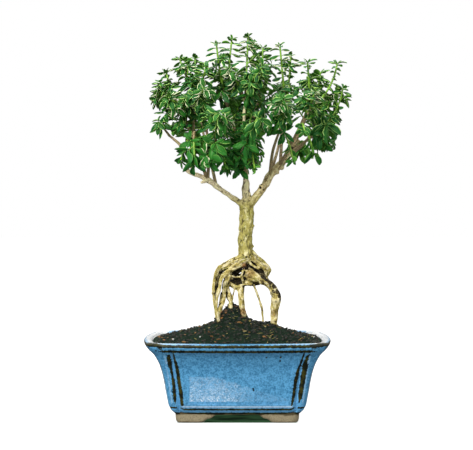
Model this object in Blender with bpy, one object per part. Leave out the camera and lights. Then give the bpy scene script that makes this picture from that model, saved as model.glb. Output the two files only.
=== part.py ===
"""Serissa bonsai: a small tree on exposed roots, grown in a glazed pot on bracket feet.

The model stands on its pot's four feet at z = 0, with +Z up and the front towards -Y.
It is laid out in millimetres from the middle of the pot, and every mesh is then moved
by PLACE, so that the middle of the whole object's box is at x = 0, y = 0.
"""
import math
import random

import bmesh
import bpy
from mathutils import Matrix, Quaternion, Vector
from mathutils.bvhtree import BVHTree

MM = 0.001
PLACE = Vector((-12.5, -0.5, 0.0))
UP = Vector((0.0, 0.0, 1.0))
SHARP_ANGLE = math.radians(35.0)

# Pot: its plan is a rectangle with bowed faces and round corners, less deep than long
POT_BOTTOM = 9.4
POT_FLOOR = 16.0
POT_DEPTH_LOSS = 22.0
FACE_HEIGHTS = (17.0, 77.0)
FACE_ENDS = (64.0, 71.5)
BOW_HEIGHTS = (17.0, 83.0)
BOWS = (1.5, 5.0)
CORNER_MIN = 6.0
CORNER_STEPS = 3
# A concave groove near both ends of each face, which fades out under the rim
GROOVE_WIDTH = 7.0
GROOVE_FADE = (76.5, 82.0)
GROOVE_DEPTHS = (2.5, 0.0)
# A shallow window in each face
WINDOW_INSET = 5.5
WINDOW_DEPTH = 1.0
WINDOW_EDGE = 0.8
WINDOW_FROM = 20.7
WINDOW_TO = 76.2
# The gap between soil and pot, and how much more it is on the slope and at the edge
WALL_GAP = 0.35
SLOPE_GAP = WALL_GAP * 1.4
EDGE_GAP = WALL_GAP * 1.6
DRAIN_RADIUS = 7.0
DRAIN_SPACING = 76.0
# Distances from a face's end to the points of the wall's plan, the first at its middle
TO_MIDDLE = 1000.0
POT_STATIONS = (
    TO_MIDDLE,
    GROOVE_WIDTH + WINDOW_INSET + WINDOW_EDGE,
    GROOVE_WIDTH + WINDOW_INSET,
    GROOVE_WIDTH,
    GROOVE_WIDTH / 2,
    0.0,
)
BED_STATIONS = (TO_MIDDLE, 24.0, 0.0)

# One row per ring of the outer wall: height, half width
OUTER_ROWS = (
    (9.4, 66.6),
    (12.0, 68.8),
    (15.4, 71.6),
    (19.9, 73.7),
    (20.7, 73.9),
    (38.0, 77.5),
    (54.0, 81.4),
    (66.0, 86.6),
    (76.2, 94.4),
    (77.0, 95.3),
    (80.5, 98.6),
    (83.8, 99.8),
    (85.8, 98.2),
)
# One row per ring of the inner wall, from the floor up to the rim
INNER_ROWS = (
    (16.0, 63.0),
    (21.0, 67.5),
    (52.0, 74.0),
    (72.0, 83.0),
    (85.8, 91.5),
)

# Feet: one bracket at each corner, left by arches through a ring
FEET_HALF_X = 64.0
FEET_HALF_Y = 43.0
FEET_CORNER = 8.0
FEET_WALL = 9.0
FEET_TOP = 11.0
FEET_HOLLOW_CORNER = 3.0
ARCH_FRONT_HALF = 40.0
ARCH_SIDE_HALF = 20.0
ARCH_REACH = 80.0
# One row per corner of an arch's outline: share of its half width, height
ARCH_OUTLINE = ((1.0, -1.0), (1.0, 0.0), (0.83, 3.4), (0.7, 4.8), (0.64, 7.0), (0.57, 8.4))

# Soil: a dome with two heaps, in a bed that follows the pot's inner wall
SOIL_EDGE = 83.0
SOIL_RISE = 20.0
SOIL_REACH_X = 90.0
SOIL_REACH_Y = 70.0
SOIL_SLOPE = 1.35
SOIL_RINGS = 4
# One row per heap: x, y, height, spread
SOIL_HEAPS = (
    (-6.0, -2.0, 19.0, 10.5),
    (36.0, 2.0, 4.0, 8.0),
)
ROOT_GAP = 0.4

# Bevel resolutions of curves that give bars of 4, 6 and 8 sides
ROUND_4 = 0
ROUND_6 = 1
ROUND_8 = 2

# Tree: each path is a list of x, y, z and radius
TRUNK = (
    (8.5, 3.0, 163.5, 4.5),
    (9.0, 1.5, 168.5, 6.4),
    (9.3, 0.3, 173.5, 7.8),
    (8.8, 0.0, 180.0, 7.9),
    (8.6, 0.0, 194.9, 7.5),
    (10.2, 0.0, 215.3, 7.7),
    (10.4, 0.0, 227.3, 7.6),
    (11.0, 0.0, 233.3, 6.4),
)
LIMBS = {
    "left": (
        (8.0, 0.0, 224.3, 4.6),
        (3.5, 0.0, 229.3, 3.4),
        (-9.4, -2.0, 237.9, 2.9),
        (-22.4, -4.0, 246.9, 2.8),
        (-32.7, -6.0, 254.9, 2.9),
        (-48.5, -10.0, 261.3, 2.4),
        (-54.9, -12.0, 265.1, 2.1),
    ),
    "left_stub": (
        (-30.0, -6.0, 253.3, 2.0),
        (-39.0, -9.0, 250.8, 1.5),
    ),
    "centre": (
        (10.0, 0.0, 225.3, 4.6),
        (8.8, -1.0, 236.7, 4.0),
        (8.8, -1.0, 243.3, 4.3),
        (9.3, -1.0, 253.8, 3.3),
        (8.0, -2.0, 264.3, 2.8),
        (6.0, -4.0, 279.3, 2.3),
        (5.0, -6.0, 296.3, 2.0),
        (7.2, -10.0, 318.0, 1.7),
        (8.0, -12.0, 338.3, 1.4),
    ),
    "right": (
        (11.0, 0.0, 222.3, 5.2),
        (16.5, 0.0, 231.3, 4.6),
        (26.8, 1.0, 244.3, 4.2),
        (34.7, 2.0, 257.3, 4.2),
        (45.0, 4.0, 269.0, 3.9),
        (55.3, 6.0, 279.5, 3.4),
        (60.2, 7.0, 290.2, 3.0),
        (66.0, 8.0, 296.8, 2.6),
    ),
}
TWIGS = {
    "left_front": (
        (-47.0, -10.0, 260.7), (-49.0, -13.0, 277.3), (-46.5, -14.0, 299.3), (-46.0, -14.0, 321.3),
    ),
    "left_tall": ((-31.5, -6.0, 254.1), (-30.5, -6.0, 278.3), (-33.0, -4.0, 308.3), (-41.0, -6.0, 341.3)),
    "left_high": ((-46.8, -14.0, 295.3), (-54.0, -10.0, 315.3), (-62.0, -8.0, 333.3)),
    "left_out": ((-49.0, -13.0, 277.3), (-61.0, -4.0, 291.3), (-74.0, 4.0, 302.3)),
    "left_near": ((-32.7, -6.0, 254.9), (-39.0, -25.0, 279.3), (-45.0, -42.0, 303.3)),
    "left_far": ((-22.4, -4.0, 246.9), (-30.0, 20.0, 279.3), (-40.0, 44.0, 315.3)),
    "middle_left": ((8.0, -2.0, 264.3), (-9.0, -18.0, 276.3), (-23.0, -30.0, 294.3)),
    "middle_tall": ((6.0, -4.0, 279.3), (-1.0, 2.0, 303.3), (-11.0, 4.0, 333.3)),
    "middle_right": ((5.4, -5.0, 289.3), (14.0, 4.0, 309.3), (22.0, 12.0, 335.3)),
    "middle_near": ((9.0, -1.0, 257.3), (9.0, -28.0, 279.3), (10.0, -50.0, 301.3)),
    "middle_far": ((9.3, -1.0, 253.8), (5.0, 26.0, 287.3), (5.0, 54.0, 321.3)),
    "low_far": ((5.6, 22.0, 282.3), (-5.0, 42.0, 285.3), (-14.0, 60.0, 287.3)),
    "right_near": ((34.7, 2.0, 257.3), (37.5, -22.0, 284.3), (45.0, -36.0, 307.3)),
    "right_front": ((45.0, 4.0, 269.0), (56.0, -22.0, 290.3), (66.0, -44.0, 311.3)),
    "right_tall": ((46.0, 4.0, 269.9), (48.0, 2.0, 298.3), (52.0, 4.0, 329.3)),
    "right_high": ((60.2, 7.0, 290.2), (68.0, 4.0, 307.3), (77.0, -2.0, 329.3)),
    "right_out": ((58.0, 6.6, 284.3), (72.0, 0.0, 294.3), (86.0, -4.0, 304.3)),
    "right_far": ((34.7, 2.0, 257.3), (44.0, 26.0, 287.3), (52.0, 50.0, 319.3)),
    "far_out": ((55.3, 6.0, 279.5), (70.0, 24.0, 291.3), (82.0, 36.0, 305.3)),
}
TWIG_RADII = (1.9, 1.25)
ROOTS = {
    "left_upper": (
        (7.0, -1.0, 171.4, 5.2), (-1.3, -3.0, 168.0, 4.3), (-8.1, -5.0, 165.0, 3.9),
        (-11.9, -5.8, 162.6, 4.0), (-16.6, -6.5, 159.0, 3.9),
    ),
    "left_outer": (
        (-19.0, -6.0, 161.0, 2.6), (-22.3, -6.0, 154.1, 2.3), (-24.6, -5.5, 142.3, 2.2),
        (-24.4, -4.5, 128.3, 2.2), (-22.5, -5.0, 113.6, 2.0), (-21.3, -6.0, 89.9, 1.7),
    ),
    "left_front": (
        (8.0, -4.5, 165.0, 3.6), (-1.5, -8.5, 161.3, 2.8), (-6.6, -10.5, 158.5, 3.2),
        (-12.2, -12.5, 154.4, 2.9), (-17.0, -13.0, 148.8, 2.1), (-18.7, -13.5, 140.8, 2.0),
        (-22.9, -14.0, 122.6, 2.1), (-21.0, -15.0, 109.9, 1.9), (-17.8, -16.0, 90.8, 1.5),
    ),
    "left_inner": (
        (-8.9, -10.0, 152.6, 2.8), (-12.3, -10.5, 145.0, 2.7), (-14.1, -10.5, 136.0, 2.6),
        (-15.0, -10.5, 124.5, 2.5), (-19.4, -11.5, 114.8, 2.2), (-21.1, -13.0, 92.6, 1.7),
    ),
    "middle_left": (
        (-11.1, -4.5, 141.5, 2.4), (-9.8, -5.5, 134.0, 2.9), (-8.5, -7.0, 127.6, 3.0),
        (-7.0, -8.0, 122.0, 2.5), (-7.9, -8.0, 103.4, 1.9),
    ),
    "left_wedge": ((-9.5, -2.0, 144.3, 2.4), (-4.4, -4.0, 141.0, 2.6), (1.4, -5.0, 137.6, 2.5)),
    "middle_front": (
        (2.4, -3.0, 140.8, 3.4), (3.5, -6.0, 134.0, 3.3), (4.1, -7.5, 127.4, 3.2),
        (4.9, -8.0, 120.8, 3.1), (6.4, -8.5, 113.5, 3.1), (7.4, -8.5, 97.5, 2.7),
    ),
    "plate": (
        (-8.3, 1.5, 144.4, 3.2), (-1.3, 2.5, 143.4, 3.9), (8.1, 2.5, 144.6, 4.8),
        (16.8, 1.5, 145.0, 5.0), (24.2, 0.0, 145.2, 3.6),
    ),
    "back_wall": ((-5.0, 7.5, 149.5, 3.8), (2.1, 8.0, 148.4, 4.6), (9.5, 7.5, 149.5, 4.6)),
    "right_upper": (
        (13.5, 1.0, 174.4, 5.6), (22.1, 2.5, 166.6, 5.2), (26.8, 3.2, 163.2, 4.9),
        (31.0, 4.2, 158.6, 4.6), (31.2, 6.0, 154.0, 3.8), (29.2, 9.0, 149.0, 3.2),
        (36.0, 12.5, 138.0, 2.6), (40.6, 14.0, 124.0, 2.5), (40.2, 15.0, 108.5, 2.4),
        (39.3, 16.0, 89.7, 2.0),
    ),
    "right_back": (
        (14.8, 5.0, 167.1, 4.5), (20.2, 7.0, 159.0, 4.5), (25.6, 8.0, 152.8, 4.2),
        (31.0, 6.0, 145.6, 3.0),
    ),
    "right_main": (
        (11.0, 4.0, 163.0, 3.6), (12.3, 0.5, 157.0, 4.6), (14.2, -3.0, 152.4, 6.3),
        (19.4, -4.5, 149.3, 5.4), (25.4, -5.0, 146.9, 4.3), (31.1, -5.0, 144.6, 4.3),
        (37.2, -5.0, 138.6, 4.8), (41.0, -5.0, 132.4, 5.1), (41.6, -5.0, 126.2, 5.1),
        (40.2, -5.0, 118.5, 4.4), (39.4, -5.0, 107.8, 4.0), (38.9, -5.0, 88.1, 2.6),
    ),
    "right_thin": (
        (17.8, -1.0, 140.6, 1.6), (21.3, -0.5, 131.6, 1.3), (26.1, 1.0, 117.3, 1.3),
        (27.3, 2.0, 107.0, 1.3), (28.0, 2.0, 90.1, 1.2),
    ),
    "far_left": (
        (4.0, 4.0, 159.5, 4.4), (-3.5, 8.0, 155.5, 4.4), (-9.7, 14.0, 142.6, 2.8),
        (-14.3, 17.0, 131.6, 2.6), (-18.5, 19.0, 109.8, 2.4), (-20.2, 19.0, 88.7, 2.0),
    ),
    "far_right": (
        (10.1, 5.0, 154.7, 4.4), (8.2, 12.0, 146.9, 3.4), (5.2, 17.0, 139.1, 2.9),
        (4.6, 20.0, 119.8, 2.7), (6.5, 20.0, 108.3, 2.6), (7.4, 20.0, 88.6, 2.3),
    ),
    "crossing_low": ((-1.9, -7.0, 138.4, 1.1), (5.4, -6.0, 142.1, 1.0), (14.1, -2.0, 141.8, 1.2)),
    "crossing_high": (
        (-9.9, -11.0, 153.9, 1.4), (-5.2, -9.0, 151.3, 1.2), (1.5, -6.5, 150.2, 1.2),
        (8.4, -3.0, 151.5, 1.3),
    ),
}
BURIED_BELOW = 107.0
THIN_ROOT = 1.8

# Foliage: each spray grows from the end of a twig to a tip, given as x, y, z,
# then how far its path arches up (or, below zero, sweeps up late) and its leaf size
SPRAY_STEM = 48.0
SPUR_MIN = 11.0
SPUR_END_GAP = 0.3
SPUR_ROOT = 2.5
SPUR_RADII = (1.2, 0.95)
SPRAYS = (
    ("left_tall", (-62.0, 8.0, 384.0), -0.08, 0.9),
    ("left_tall", (-46.0, 26.0, 386.0), -0.06, 0.85),
    ("left_tall", (-33.0, -26.0, 371.0), -0.04, 0.9),
    ("middle_tall", (-22.0, -18.0, 397.0), -0.05, 0.85),
    ("middle_tall", (-6.0, 26.0, 406.0), -0.05, 0.85),
    ("centre", (11.4, -4.0, 406.0), -0.06, 0.85),
    ("middle_right", (28.0, 34.0, 398.0), -0.06, 0.9),
    ("right_tall", (45.0, -16.0, 395.0), -0.06, 0.85),
    ("right_tall", (58.0, 26.0, 389.0), -0.08, 0.85),
    ("right_high", (74.0, -18.0, 377.0), -0.06, 0.9),
    ("right_high", (90.0, 20.0, 370.0), -0.10, 0.9),
    ("right_high", (106.0, -10.0, 377.0), -0.16, 0.9),
    ("right_out", (112.0, -8.0, 351.0), -0.12, 0.95),
    ("right_out", (94.0, -24.0, 313.0), 0.04, 1.25),
    ("right_out", (93.0, 2.0, 296.0), 0.14, 1.0),
    ("right_front", (80.0, -30.0, 281.0), 0.22, 1.2),
    ("right_near", (58.0, -40.0, 274.0), 0.26, 1.3),
    ("middle_near", (18.0, -44.0, 265.0), 0.26, 0.85),
    ("middle_left", (-12.0, -40.0, 267.0), 0.24, 0.95),
    ("middle_left", (-28.0, -58.0, 273.0), 0.20, 1.3),
    ("left_near", (-44.0, -54.0, 269.0), 0.22, 1.25),
    ("left_near", (-59.0, -34.0, 274.0), 0.20, 1.05),
    ("left_out", (-84.0, -12.0, 315.0), 0.12, 1.0),
    ("left_high", (-85.0, -8.0, 344.0), -0.02, 0.95),
    ("left_high", (-76.0, 6.0, 369.0), -0.08, 0.9),
    ("centre", (-8.0, -38.0, 369.0), 0.02, 1.0),
    ("left_front", (-34.0, -58.0, 347.0), 0.06, 0.95),
    ("middle_left", (-18.0, -72.0, 321.0), 0.10, 1.05),
    ("middle_near", (24.0, -84.0, 315.0), 0.10, 1.05),
    ("right_near", (46.0, -76.0, 335.0), 0.04, 0.95),
    ("centre", (26.0, -44.0, 371.0), 0.04, 0.95),
    ("right_front", (80.0, -56.0, 343.0), 0.02, 0.95),
    ("right_front", (68.0, -76.0, 303.0), 0.12, 1.1),
    ("left_front", (-72.0, -40.0, 337.0), 0.04, 1.0),
    ("left_far", (-70.0, 56.0, 315.0), 0.10, 1.0),
    ("left_far", (-44.0, 66.0, 344.0), 0.04, 0.95),
    ("middle_far", (-18.0, 58.0, 371.0), -0.02, 0.95),
    ("middle_far", (22.0, 68.0, 361.0), -0.02, 0.9),
    ("middle_far", (6.0, 88.0, 326.0), 0.08, 1.0),
    ("low_far", (-32.0, 82.0, 293.0), 0.14, 1.05),
    ("right_far", (56.0, 62.0, 358.0), 0.0, 0.95),
    ("far_out", (92.0, 46.0, 347.0), -0.04, 0.95),
    ("far_out", (95.0, 50.0, 307.0), 0.08, 1.0),
    ("far_out", (70.0, 60.0, 285.0), 0.16, 1.1),
)
SPRAY_SEED = 41
# How a path bends: the share of its way at which it bends, and how much it carries on
# in the twig's direction or, when it sweeps up late, leans outwards first
BEND_AT = 0.45
BEND_ONWARD = 0.08
BEND_OUTWARD = 2.0
LINE_STEPS = 24
STEM_RADII = (0.85, 0.75)
STEM_POINTS = 4
LEAF_NODES = (0.295, 0.54, 0.78, 0.985)
CROWN_MIDDLE = Vector((11.0, 0.0, 322.0))
LEAF_LENGTH = 14.5
LEAF_SLENDERNESS = 0.44
LEAF_THICKNESS = 0.8
LEAF_ARCH = 0.10
LEAF_ROOT = 0.5
# One row for each of a blade's two wide places: share of its length, share of its width
LEAF_ROWS = ((0.30, 1.0), (0.70, 0.88))
LEAF_SIZES = (0.88, 1.12)
LEAF_SPREAD = (46.0, 62.0)
TIP_SPREAD = 34.0
TIP_SIZE = 0.8
LEAF_ROLL = 0.8
PAIR_TURN = 0.25
# How far a blade faces along its stem, up, and away from the crown's middle
FACE_WEIGHTS = (0.55, 0.25, 0.55)
LEAF_CLEARANCE = 0.5
NUDGES = (0.0, 0.35, -0.35, 0.7, -0.7, 1.05, -1.05)


def add_collection(name):
    collection = bpy.data.collections.new(name)
    bpy.context.scene.collection.children.link(collection)
    return collection


def add_material(name, colour, roughness):
    material = bpy.data.materials.new(name)
    material.use_nodes = True
    shader = material.node_tree.nodes["Principled BSDF"]
    shader.inputs["Base Color"].default_value = (*colour, 1.0)
    shader.inputs["Roughness"].default_value = roughness
    shader.inputs["Metallic"].default_value = 0.0
    material.diffuse_color = (*colour, 1.0)
    return material


def add_object(name, shape, collection):
    """Make an object from a bmesh that is in millimetres."""
    bmesh.ops.scale(shape, vec=(MM, MM, MM), verts=shape.verts)
    bmesh.ops.recalc_face_normals(shape, faces=shape.faces)
    mesh = bpy.data.meshes.new(name)
    shape.to_mesh(mesh)
    shape.free()
    item = bpy.data.objects.new(name, mesh)
    collection.objects.link(item)
    return item


def settle(item):
    """Apply an object's modifiers."""
    bpy.context.view_layer.update()
    evaluated = item.evaluated_get(bpy.context.evaluated_depsgraph_get())
    mesh = bpy.data.meshes.new_from_object(evaluated)
    item.modifiers.clear()
    item.data = mesh
    mesh.name = item.name


def combine(item, others, operation, solver):
    """Join the other objects to this one, or cut them from it, and remove them."""
    operands = add_collection(item.name + "_operands")
    for other in others:
        for holder in tuple(other.users_collection):
            holder.objects.unlink(other)
        operands.objects.link(other)
        other.hide_render = True
        other.display_type = "WIRE"
    boolean = item.modifiers.new("combine", "BOOLEAN")
    boolean.operation = operation
    boolean.operand_type = "COLLECTION"
    boolean.collection = operands
    boolean.solver = solver
    settle(item)
    for other in others:
        bpy.data.objects.remove(other)
    bpy.data.collections.remove(operands)


def between(rows, height):
    """Read a half width from rows of height and half width."""
    ordered = sorted(rows)
    for (low, low_width), (high, high_width) in zip(ordered, ordered[1:]):
        if low <= height <= high:
            share = (height - low) / max(high - low, 1e-6)
            return low_width + share * (high_width - low_width)
    return ordered[-1][1]


def ramp(height, heights, values):
    """A value that runs from one height to another, and is level beyond them."""
    share = (height - heights[0]) / (heights[1] - heights[0])
    share = min(max(share, 0.0), 1.0)
    return values[0] + share * (values[1] - values[0])


def face_point(along, end, front, height, recess, groove):
    """A point on a pot face: its place along the face and its distance from the middle."""
    out = front - ramp(height, BOW_HEIGHTS, BOWS) * (along / end) ** 2
    window = end - GROOVE_WIDTH - WINDOW_INSET - WINDOW_EDGE
    if math.isclose(along, end - GROOVE_WIDTH / 2):
        out -= groove
    if along < window or math.isclose(along, window):
        out -= recess
    return along, out


def quadrant(height, half_width, stations, recess=0.0, groove=0.0):
    """The points of one quarter of a pot section, from the front face to the side face."""
    half_depth = half_width - POT_DEPTH_LOSS
    bow = ramp(height, BOW_HEIGHTS, BOWS)
    end_x = min(ramp(height, FACE_HEIGHTS, FACE_ENDS), half_width - CORNER_MIN)
    corner = half_width - bow - end_x
    end_y = half_depth - bow - corner
    points = []
    for station in stations:
        points.append(face_point(max(end_x - station, 0.0), end_x, half_depth, height, recess, groove))
    for step in range(1, CORNER_STEPS):
        angle = math.pi / 2 * step / CORNER_STEPS
        points.append((end_x + corner * math.sin(angle), end_y + corner * math.cos(angle)))
    for station in reversed(stations):
        side, out = face_point(max(end_y - station, 0.0), end_y, half_width, height, recess, groove)
        points.append((out, side))
    return points


def section(height, half_width, stations, recess=0.0, groove=0.0):
    """A whole pot section, as a closed ring of points."""
    quarter = quadrant(height, half_width, stations, recess, groove)
    ring = [(x, -y) for x, y in quarter]
    ring += [(x, y) for x, y in reversed(quarter[:-1])]
    ring += [(-x, y) for x, y in quarter[1:]]
    ring += [(-x, -y) for x, y in reversed(quarter[1:-1])]
    return [Vector((x, y, height)) for x, y in ring]


def loft(shape, rings):
    """Close a skin over a list of rings that have the same number of points."""
    loops = [[shape.verts.new(point) for point in ring] for ring in rings]
    count = len(loops[0])
    for lower, upper in zip(loops, loops[1:]):
        for index in range(count):
            after = (index + 1) % count
            shape.faces.new((lower[index], lower[after], upper[after], upper[index]))
    shape.faces.new(loops[0][::-1])
    shape.faces.new(loops[-1])


def pot_rings():
    """The pot's outer sections, from its bottom up to the rim."""
    rings = []
    for height, half_width in OUTER_ROWS:
        recess = WINDOW_DEPTH if WINDOW_FROM <= height <= WINDOW_TO else 0.0
        groove = ramp(height, GROOVE_FADE, GROOVE_DEPTHS)
        rings.append(section(height, half_width, POT_STATIONS, recess, groove))
    return rings


def make_cavity(collection):
    """The cutter for the inside of the pot, which runs on above the rim."""
    rings = [section(height, half_width, BED_STATIONS) for height, half_width in INNER_ROWS]
    rings.append([point + UP * 5.0 for point in rings[-1]])
    shape = bmesh.new()
    loft(shape, rings)
    return add_object("cavity", shape, collection)


def rounded_ring(half_x, half_y, corner, height):
    """A rounded rectangle, as a ring of points."""
    ring = []
    for turn, (sign_x, sign_y) in enumerate(((1, -1), (1, 1), (-1, 1), (-1, -1))):
        for step in range(CORNER_STEPS + 1):
            angle = math.pi / 2 * (turn - 1 + step / CORNER_STEPS)
            x = sign_x * (half_x - corner) + corner * math.cos(angle)
            y = sign_y * (half_y - corner) + corner * math.sin(angle)
            ring.append(Vector((x, y, height)))
    return ring


def block(name, half_x, half_y, corner, low, high, collection):
    shape = bmesh.new()
    loft(shape, [rounded_ring(half_x, half_y, corner, height) for height in (low, high)])
    return add_object(name, shape, collection)


def arch(name, half, across, collection):
    """A cutter whose outline rises in an ogee from the ground on both sides."""
    outline = [(half * share, height) for share, height in ARCH_OUTLINE]
    outline += [(-x, height) for x, height in reversed(outline)]
    shape = bmesh.new()
    rings = []
    for place in (-ARCH_REACH, ARCH_REACH):
        if across:
            rings.append([Vector((place, x, height)) for x, height in outline])
        else:
            rings.append([Vector((x, place, height)) for x, height in outline])
    loft(shape, rings)
    return add_object(name, shape, collection)


def drain(name, x, collection):
    shape = bmesh.new()
    bmesh.ops.create_cone(
        shape, cap_ends=True, segments=16, radius1=DRAIN_RADIUS, radius2=DRAIN_RADIUS, depth=20.0,
        matrix=Matrix.Translation((x, 0.0, POT_BOTTOM)),
    )
    return add_object(name, shape, collection)


def make_pot(collection, cutters):
    shape = bmesh.new()
    loft(shape, pot_rings())
    pot = add_object("pot", shape, collection)
    feet = block("feet", FEET_HALF_X, FEET_HALF_Y, FEET_CORNER, 0.0, FEET_TOP, cutters)
    inner_x = FEET_HALF_X - FEET_WALL
    inner_y = FEET_HALF_Y - FEET_WALL
    hollow = block("feet_hollow", inner_x, inner_y, FEET_HOLLOW_CORNER, -1.0, FEET_TOP + 1.0, cutters)
    arches = [
        arch("arch_front", ARCH_FRONT_HALF, False, cutters),
        arch("arch_side", ARCH_SIDE_HALF, True, cutters),
    ]
    combine(feet, [hollow] + arches, "DIFFERENCE", "EXACT")
    combine(pot, [feet], "UNION", "EXACT")
    combine(pot, [make_cavity(cutters)], "DIFFERENCE", "EXACT")
    drains = [drain(f"drain_{side}", side * DRAIN_SPACING / 2, cutters) for side in (-1, 1)]
    combine(pot, drains, "DIFFERENCE", "EXACT")
    return pot


def soil_height(x, y):
    """The height of the soil's surface at a place."""
    away = math.hypot(x / SOIL_REACH_X, y / SOIL_REACH_Y)
    height = SOIL_EDGE + SOIL_RISE * max(1.0 - away ** SOIL_SLOPE, 0.0)
    for heap_x, heap_y, rise, spread in SOIL_HEAPS:
        height += rise * math.exp(-((x - heap_x) ** 2 + (y - heap_y) ** 2) / (2 * spread ** 2))
    return height


def make_soil(collection, cutters):
    rings = []
    for height, half_width in INNER_ROWS:
        if height < SOIL_EDGE:
            lift = WALL_GAP if height == POT_FLOOR else 0.0
            rings.append(section(height + lift, half_width - SLOPE_GAP, BED_STATIONS))
    edge = section(SOIL_EDGE, between(INNER_ROWS, SOIL_EDGE) - EDGE_GAP, BED_STATIONS)
    rings.append(edge)
    for step in range(1, SOIL_RINGS + 1):
        share = 1.0 - step / (SOIL_RINGS + 0.5)
        ring = []
        for point in edge:
            x, y = point.x * share, point.y * share
            ring.append(Vector((x, y, soil_height(x, y))))
        rings.append(ring)
    shape = bmesh.new()
    loft(shape, rings)
    soil = add_object("soil", shape, collection)
    standing = {name: path for name, path in ROOTS.items() if path[-1][2] < BURIED_BELOW}
    holes = [root_hole(name, path, cutters) for name, path in standing.items()]
    combine(soil, holes, "DIFFERENCE", "MANIFOLD")
    return soil


def root_bar(path):
    """The points, the radii and the roundness of a root."""
    points, radii = split_path(path)
    return points, radii, ROUND_4 if max(radii) < THIN_ROOT else ROUND_6


def root_hole(name, path, collection):
    """The bar that makes a root's hole: a little wider and longer than the root."""
    points, radii, roundness = root_bar(path)
    points[-1] += (points[-1] - points[-2]).normalized() * ROOT_GAP
    radii = [radius + ROOT_GAP for radius in radii]
    return tube(f"hole_{name}", points, radii, roundness, collection)


def split_path(path):
    """The points and the radii of a path."""
    points = [Vector(row[:3]) for row in path]
    radii = [row[3] for row in path]
    return points, radii


def tube(name, points, radii, resolution, collection):
    """A round bar along points, closed at both ends."""
    curve = bpy.data.curves.new(name, "CURVE")
    curve.dimensions = "3D"
    curve.bevel_depth = MM
    curve.bevel_resolution = resolution
    curve.use_fill_caps = True
    spline = curve.splines.new("POLY")
    spline.points.add(len(points) - 1)
    for target, point, radius in zip(spline.points, points, radii):
        target.co = (*(point * MM), 1.0)
        target.radius = radius
    holder = bpy.data.objects.new(name + "_path", curve)
    collection.objects.link(holder)
    bpy.context.view_layer.update()
    evaluated = holder.evaluated_get(bpy.context.evaluated_depsgraph_get())
    mesh = bpy.data.meshes.new_from_object(evaluated)
    shape = bmesh.new()
    shape.from_mesh(mesh)
    bmesh.ops.remove_doubles(shape, verts=shape.verts, dist=0.00001)
    bmesh.ops.recalc_face_normals(shape, faces=shape.faces)
    shape.to_mesh(mesh)
    shape.free()
    item = bpy.data.objects.new(name, mesh)
    item.matrix_world = holder.matrix_world
    collection.objects.link(item)
    bpy.data.objects.remove(holder)
    return item


def taper(count, radii):
    return [radii[0] + (radii[1] - radii[0]) * index / (count - 1) for index in range(count)]


def fork_point(name):
    """The end of a twig, and the direction in which it ends."""
    if name == "centre":
        points = [Vector(row[:3]) for row in LIMBS["centre"]]
    else:
        points = [Vector(row) for row in TWIGS[name]]
    return points[-1], (points[-1] - points[-2]).normalized()


def spray_path(twig, tip, arching):
    """The line from a twig's end to a spray's tip: a curve with one control point."""
    start, heading = fork_point(twig)
    end = Vector(tip)
    reach = (end - start).length
    control = start.lerp(end, BEND_AT) + (UP * arching + heading * BEND_ONWARD) * reach
    if arching < 0:
        control += Vector((end.x - start.x, end.y - start.y, 0.0)) * -arching * BEND_OUTWARD
    line = []
    for index in range(LINE_STEPS + 1):
        t = index / LINE_STEPS
        line.append(start * (1 - t) ** 2 + control * 2 * t * (1 - t) + end * t ** 2)
    return line


def walk(line, distance):
    """The point at a distance along a line, counted from its end."""
    left = distance
    for after, before in zip(reversed(line), reversed(line[:-1])):
        step = (after - before).length
        if step >= left:
            return after.lerp(before, left / step)
        left -= step
    return line[0].copy()


def line_length(line):
    return sum((after - before).length for before, after in zip(line, line[1:]))


def spray_stem(line):
    """The points of a spray's green stem, base first, and its length."""
    length = min(SPRAY_STEM, line_length(line) - SPUR_MIN)
    stem = [walk(line, length * (1 - index / (STEM_POINTS - 1))) for index in range(STEM_POINTS)]
    return stem, length


def leaf_shape(length, width):
    """A leaf blade along +Y with its upper side at +Z and a keel along the midrib below."""
    shape = bmesh.new()
    bmesh.ops.create_uvsphere(shape, u_segments=3, v_segments=3, radius=1.0)
    for vert in shape.verts:
        keel = vert.co.x > 0.3
        side = math.copysign(width / 2, vert.co.y)
        if vert.co.z > 0.9:
            vert.co = Vector((0.0, -LEAF_ROOT, 0.0))
        elif vert.co.z < -0.9:
            vert.co = Vector((0.0, length, -LEAF_ARCH * length))
        else:
            share, wide = LEAF_ROWS[0] if vert.co.z > 0 else LEAF_ROWS[1]
            sag = LEAF_ARCH * length * share ** 2
            if keel:
                vert.co = Vector((0.0, length * share, -sag - LEAF_THICKNESS / 2))
            else:
                vert.co = Vector((side * wide, length * share, -sag + LEAF_THICKNESS / 2))
    return shape


def leaf_matrix(base, direction, normal):
    side = direction.cross(normal).normalized()
    normal = side.cross(direction).normalized()
    turn = Matrix((side, direction, normal)).transposed().to_4x4()
    return Matrix.Translation(base) @ turn


def pair_directions(base, tangent, twist, spread):
    """The two directions of an opposite leaf pair, and the faces they show."""
    side = tangent.cross(UP)
    if side.length < 0.2:
        side = tangent.cross(Vector((1.0, 0.0, 0.0)))
    side.normalize()
    side = Quaternion(tangent, twist) @ side
    outward = (base - CROWN_MIDDLE).normalized()
    result = []
    for sign in (1, -1):
        direction = tangent * math.cos(spread) + side * sign * math.sin(spread)
        face = tangent * math.sin(spread) - side * sign * math.cos(spread)
        face = face * FACE_WEIGHTS[0] + UP * FACE_WEIGHTS[1] + outward * FACE_WEIGHTS[2]
        result.append((direction.normalized(), face))
    return result


def triangle_tree(item):
    """An object's triangles, ready to be tested against others, in millimetres."""
    points = [vert.co / MM for vert in item.data.vertices]
    faces = [tuple(face.vertices) for face in item.data.polygons]
    return BVHTree.FromPolygons(points, faces, epsilon=LEAF_CLEARANCE)


def clears(shape, others):
    probe = BVHTree.FromBMesh(shape, epsilon=LEAF_CLEARANCE)
    return not any(probe.overlap(other) for other in others)


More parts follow.
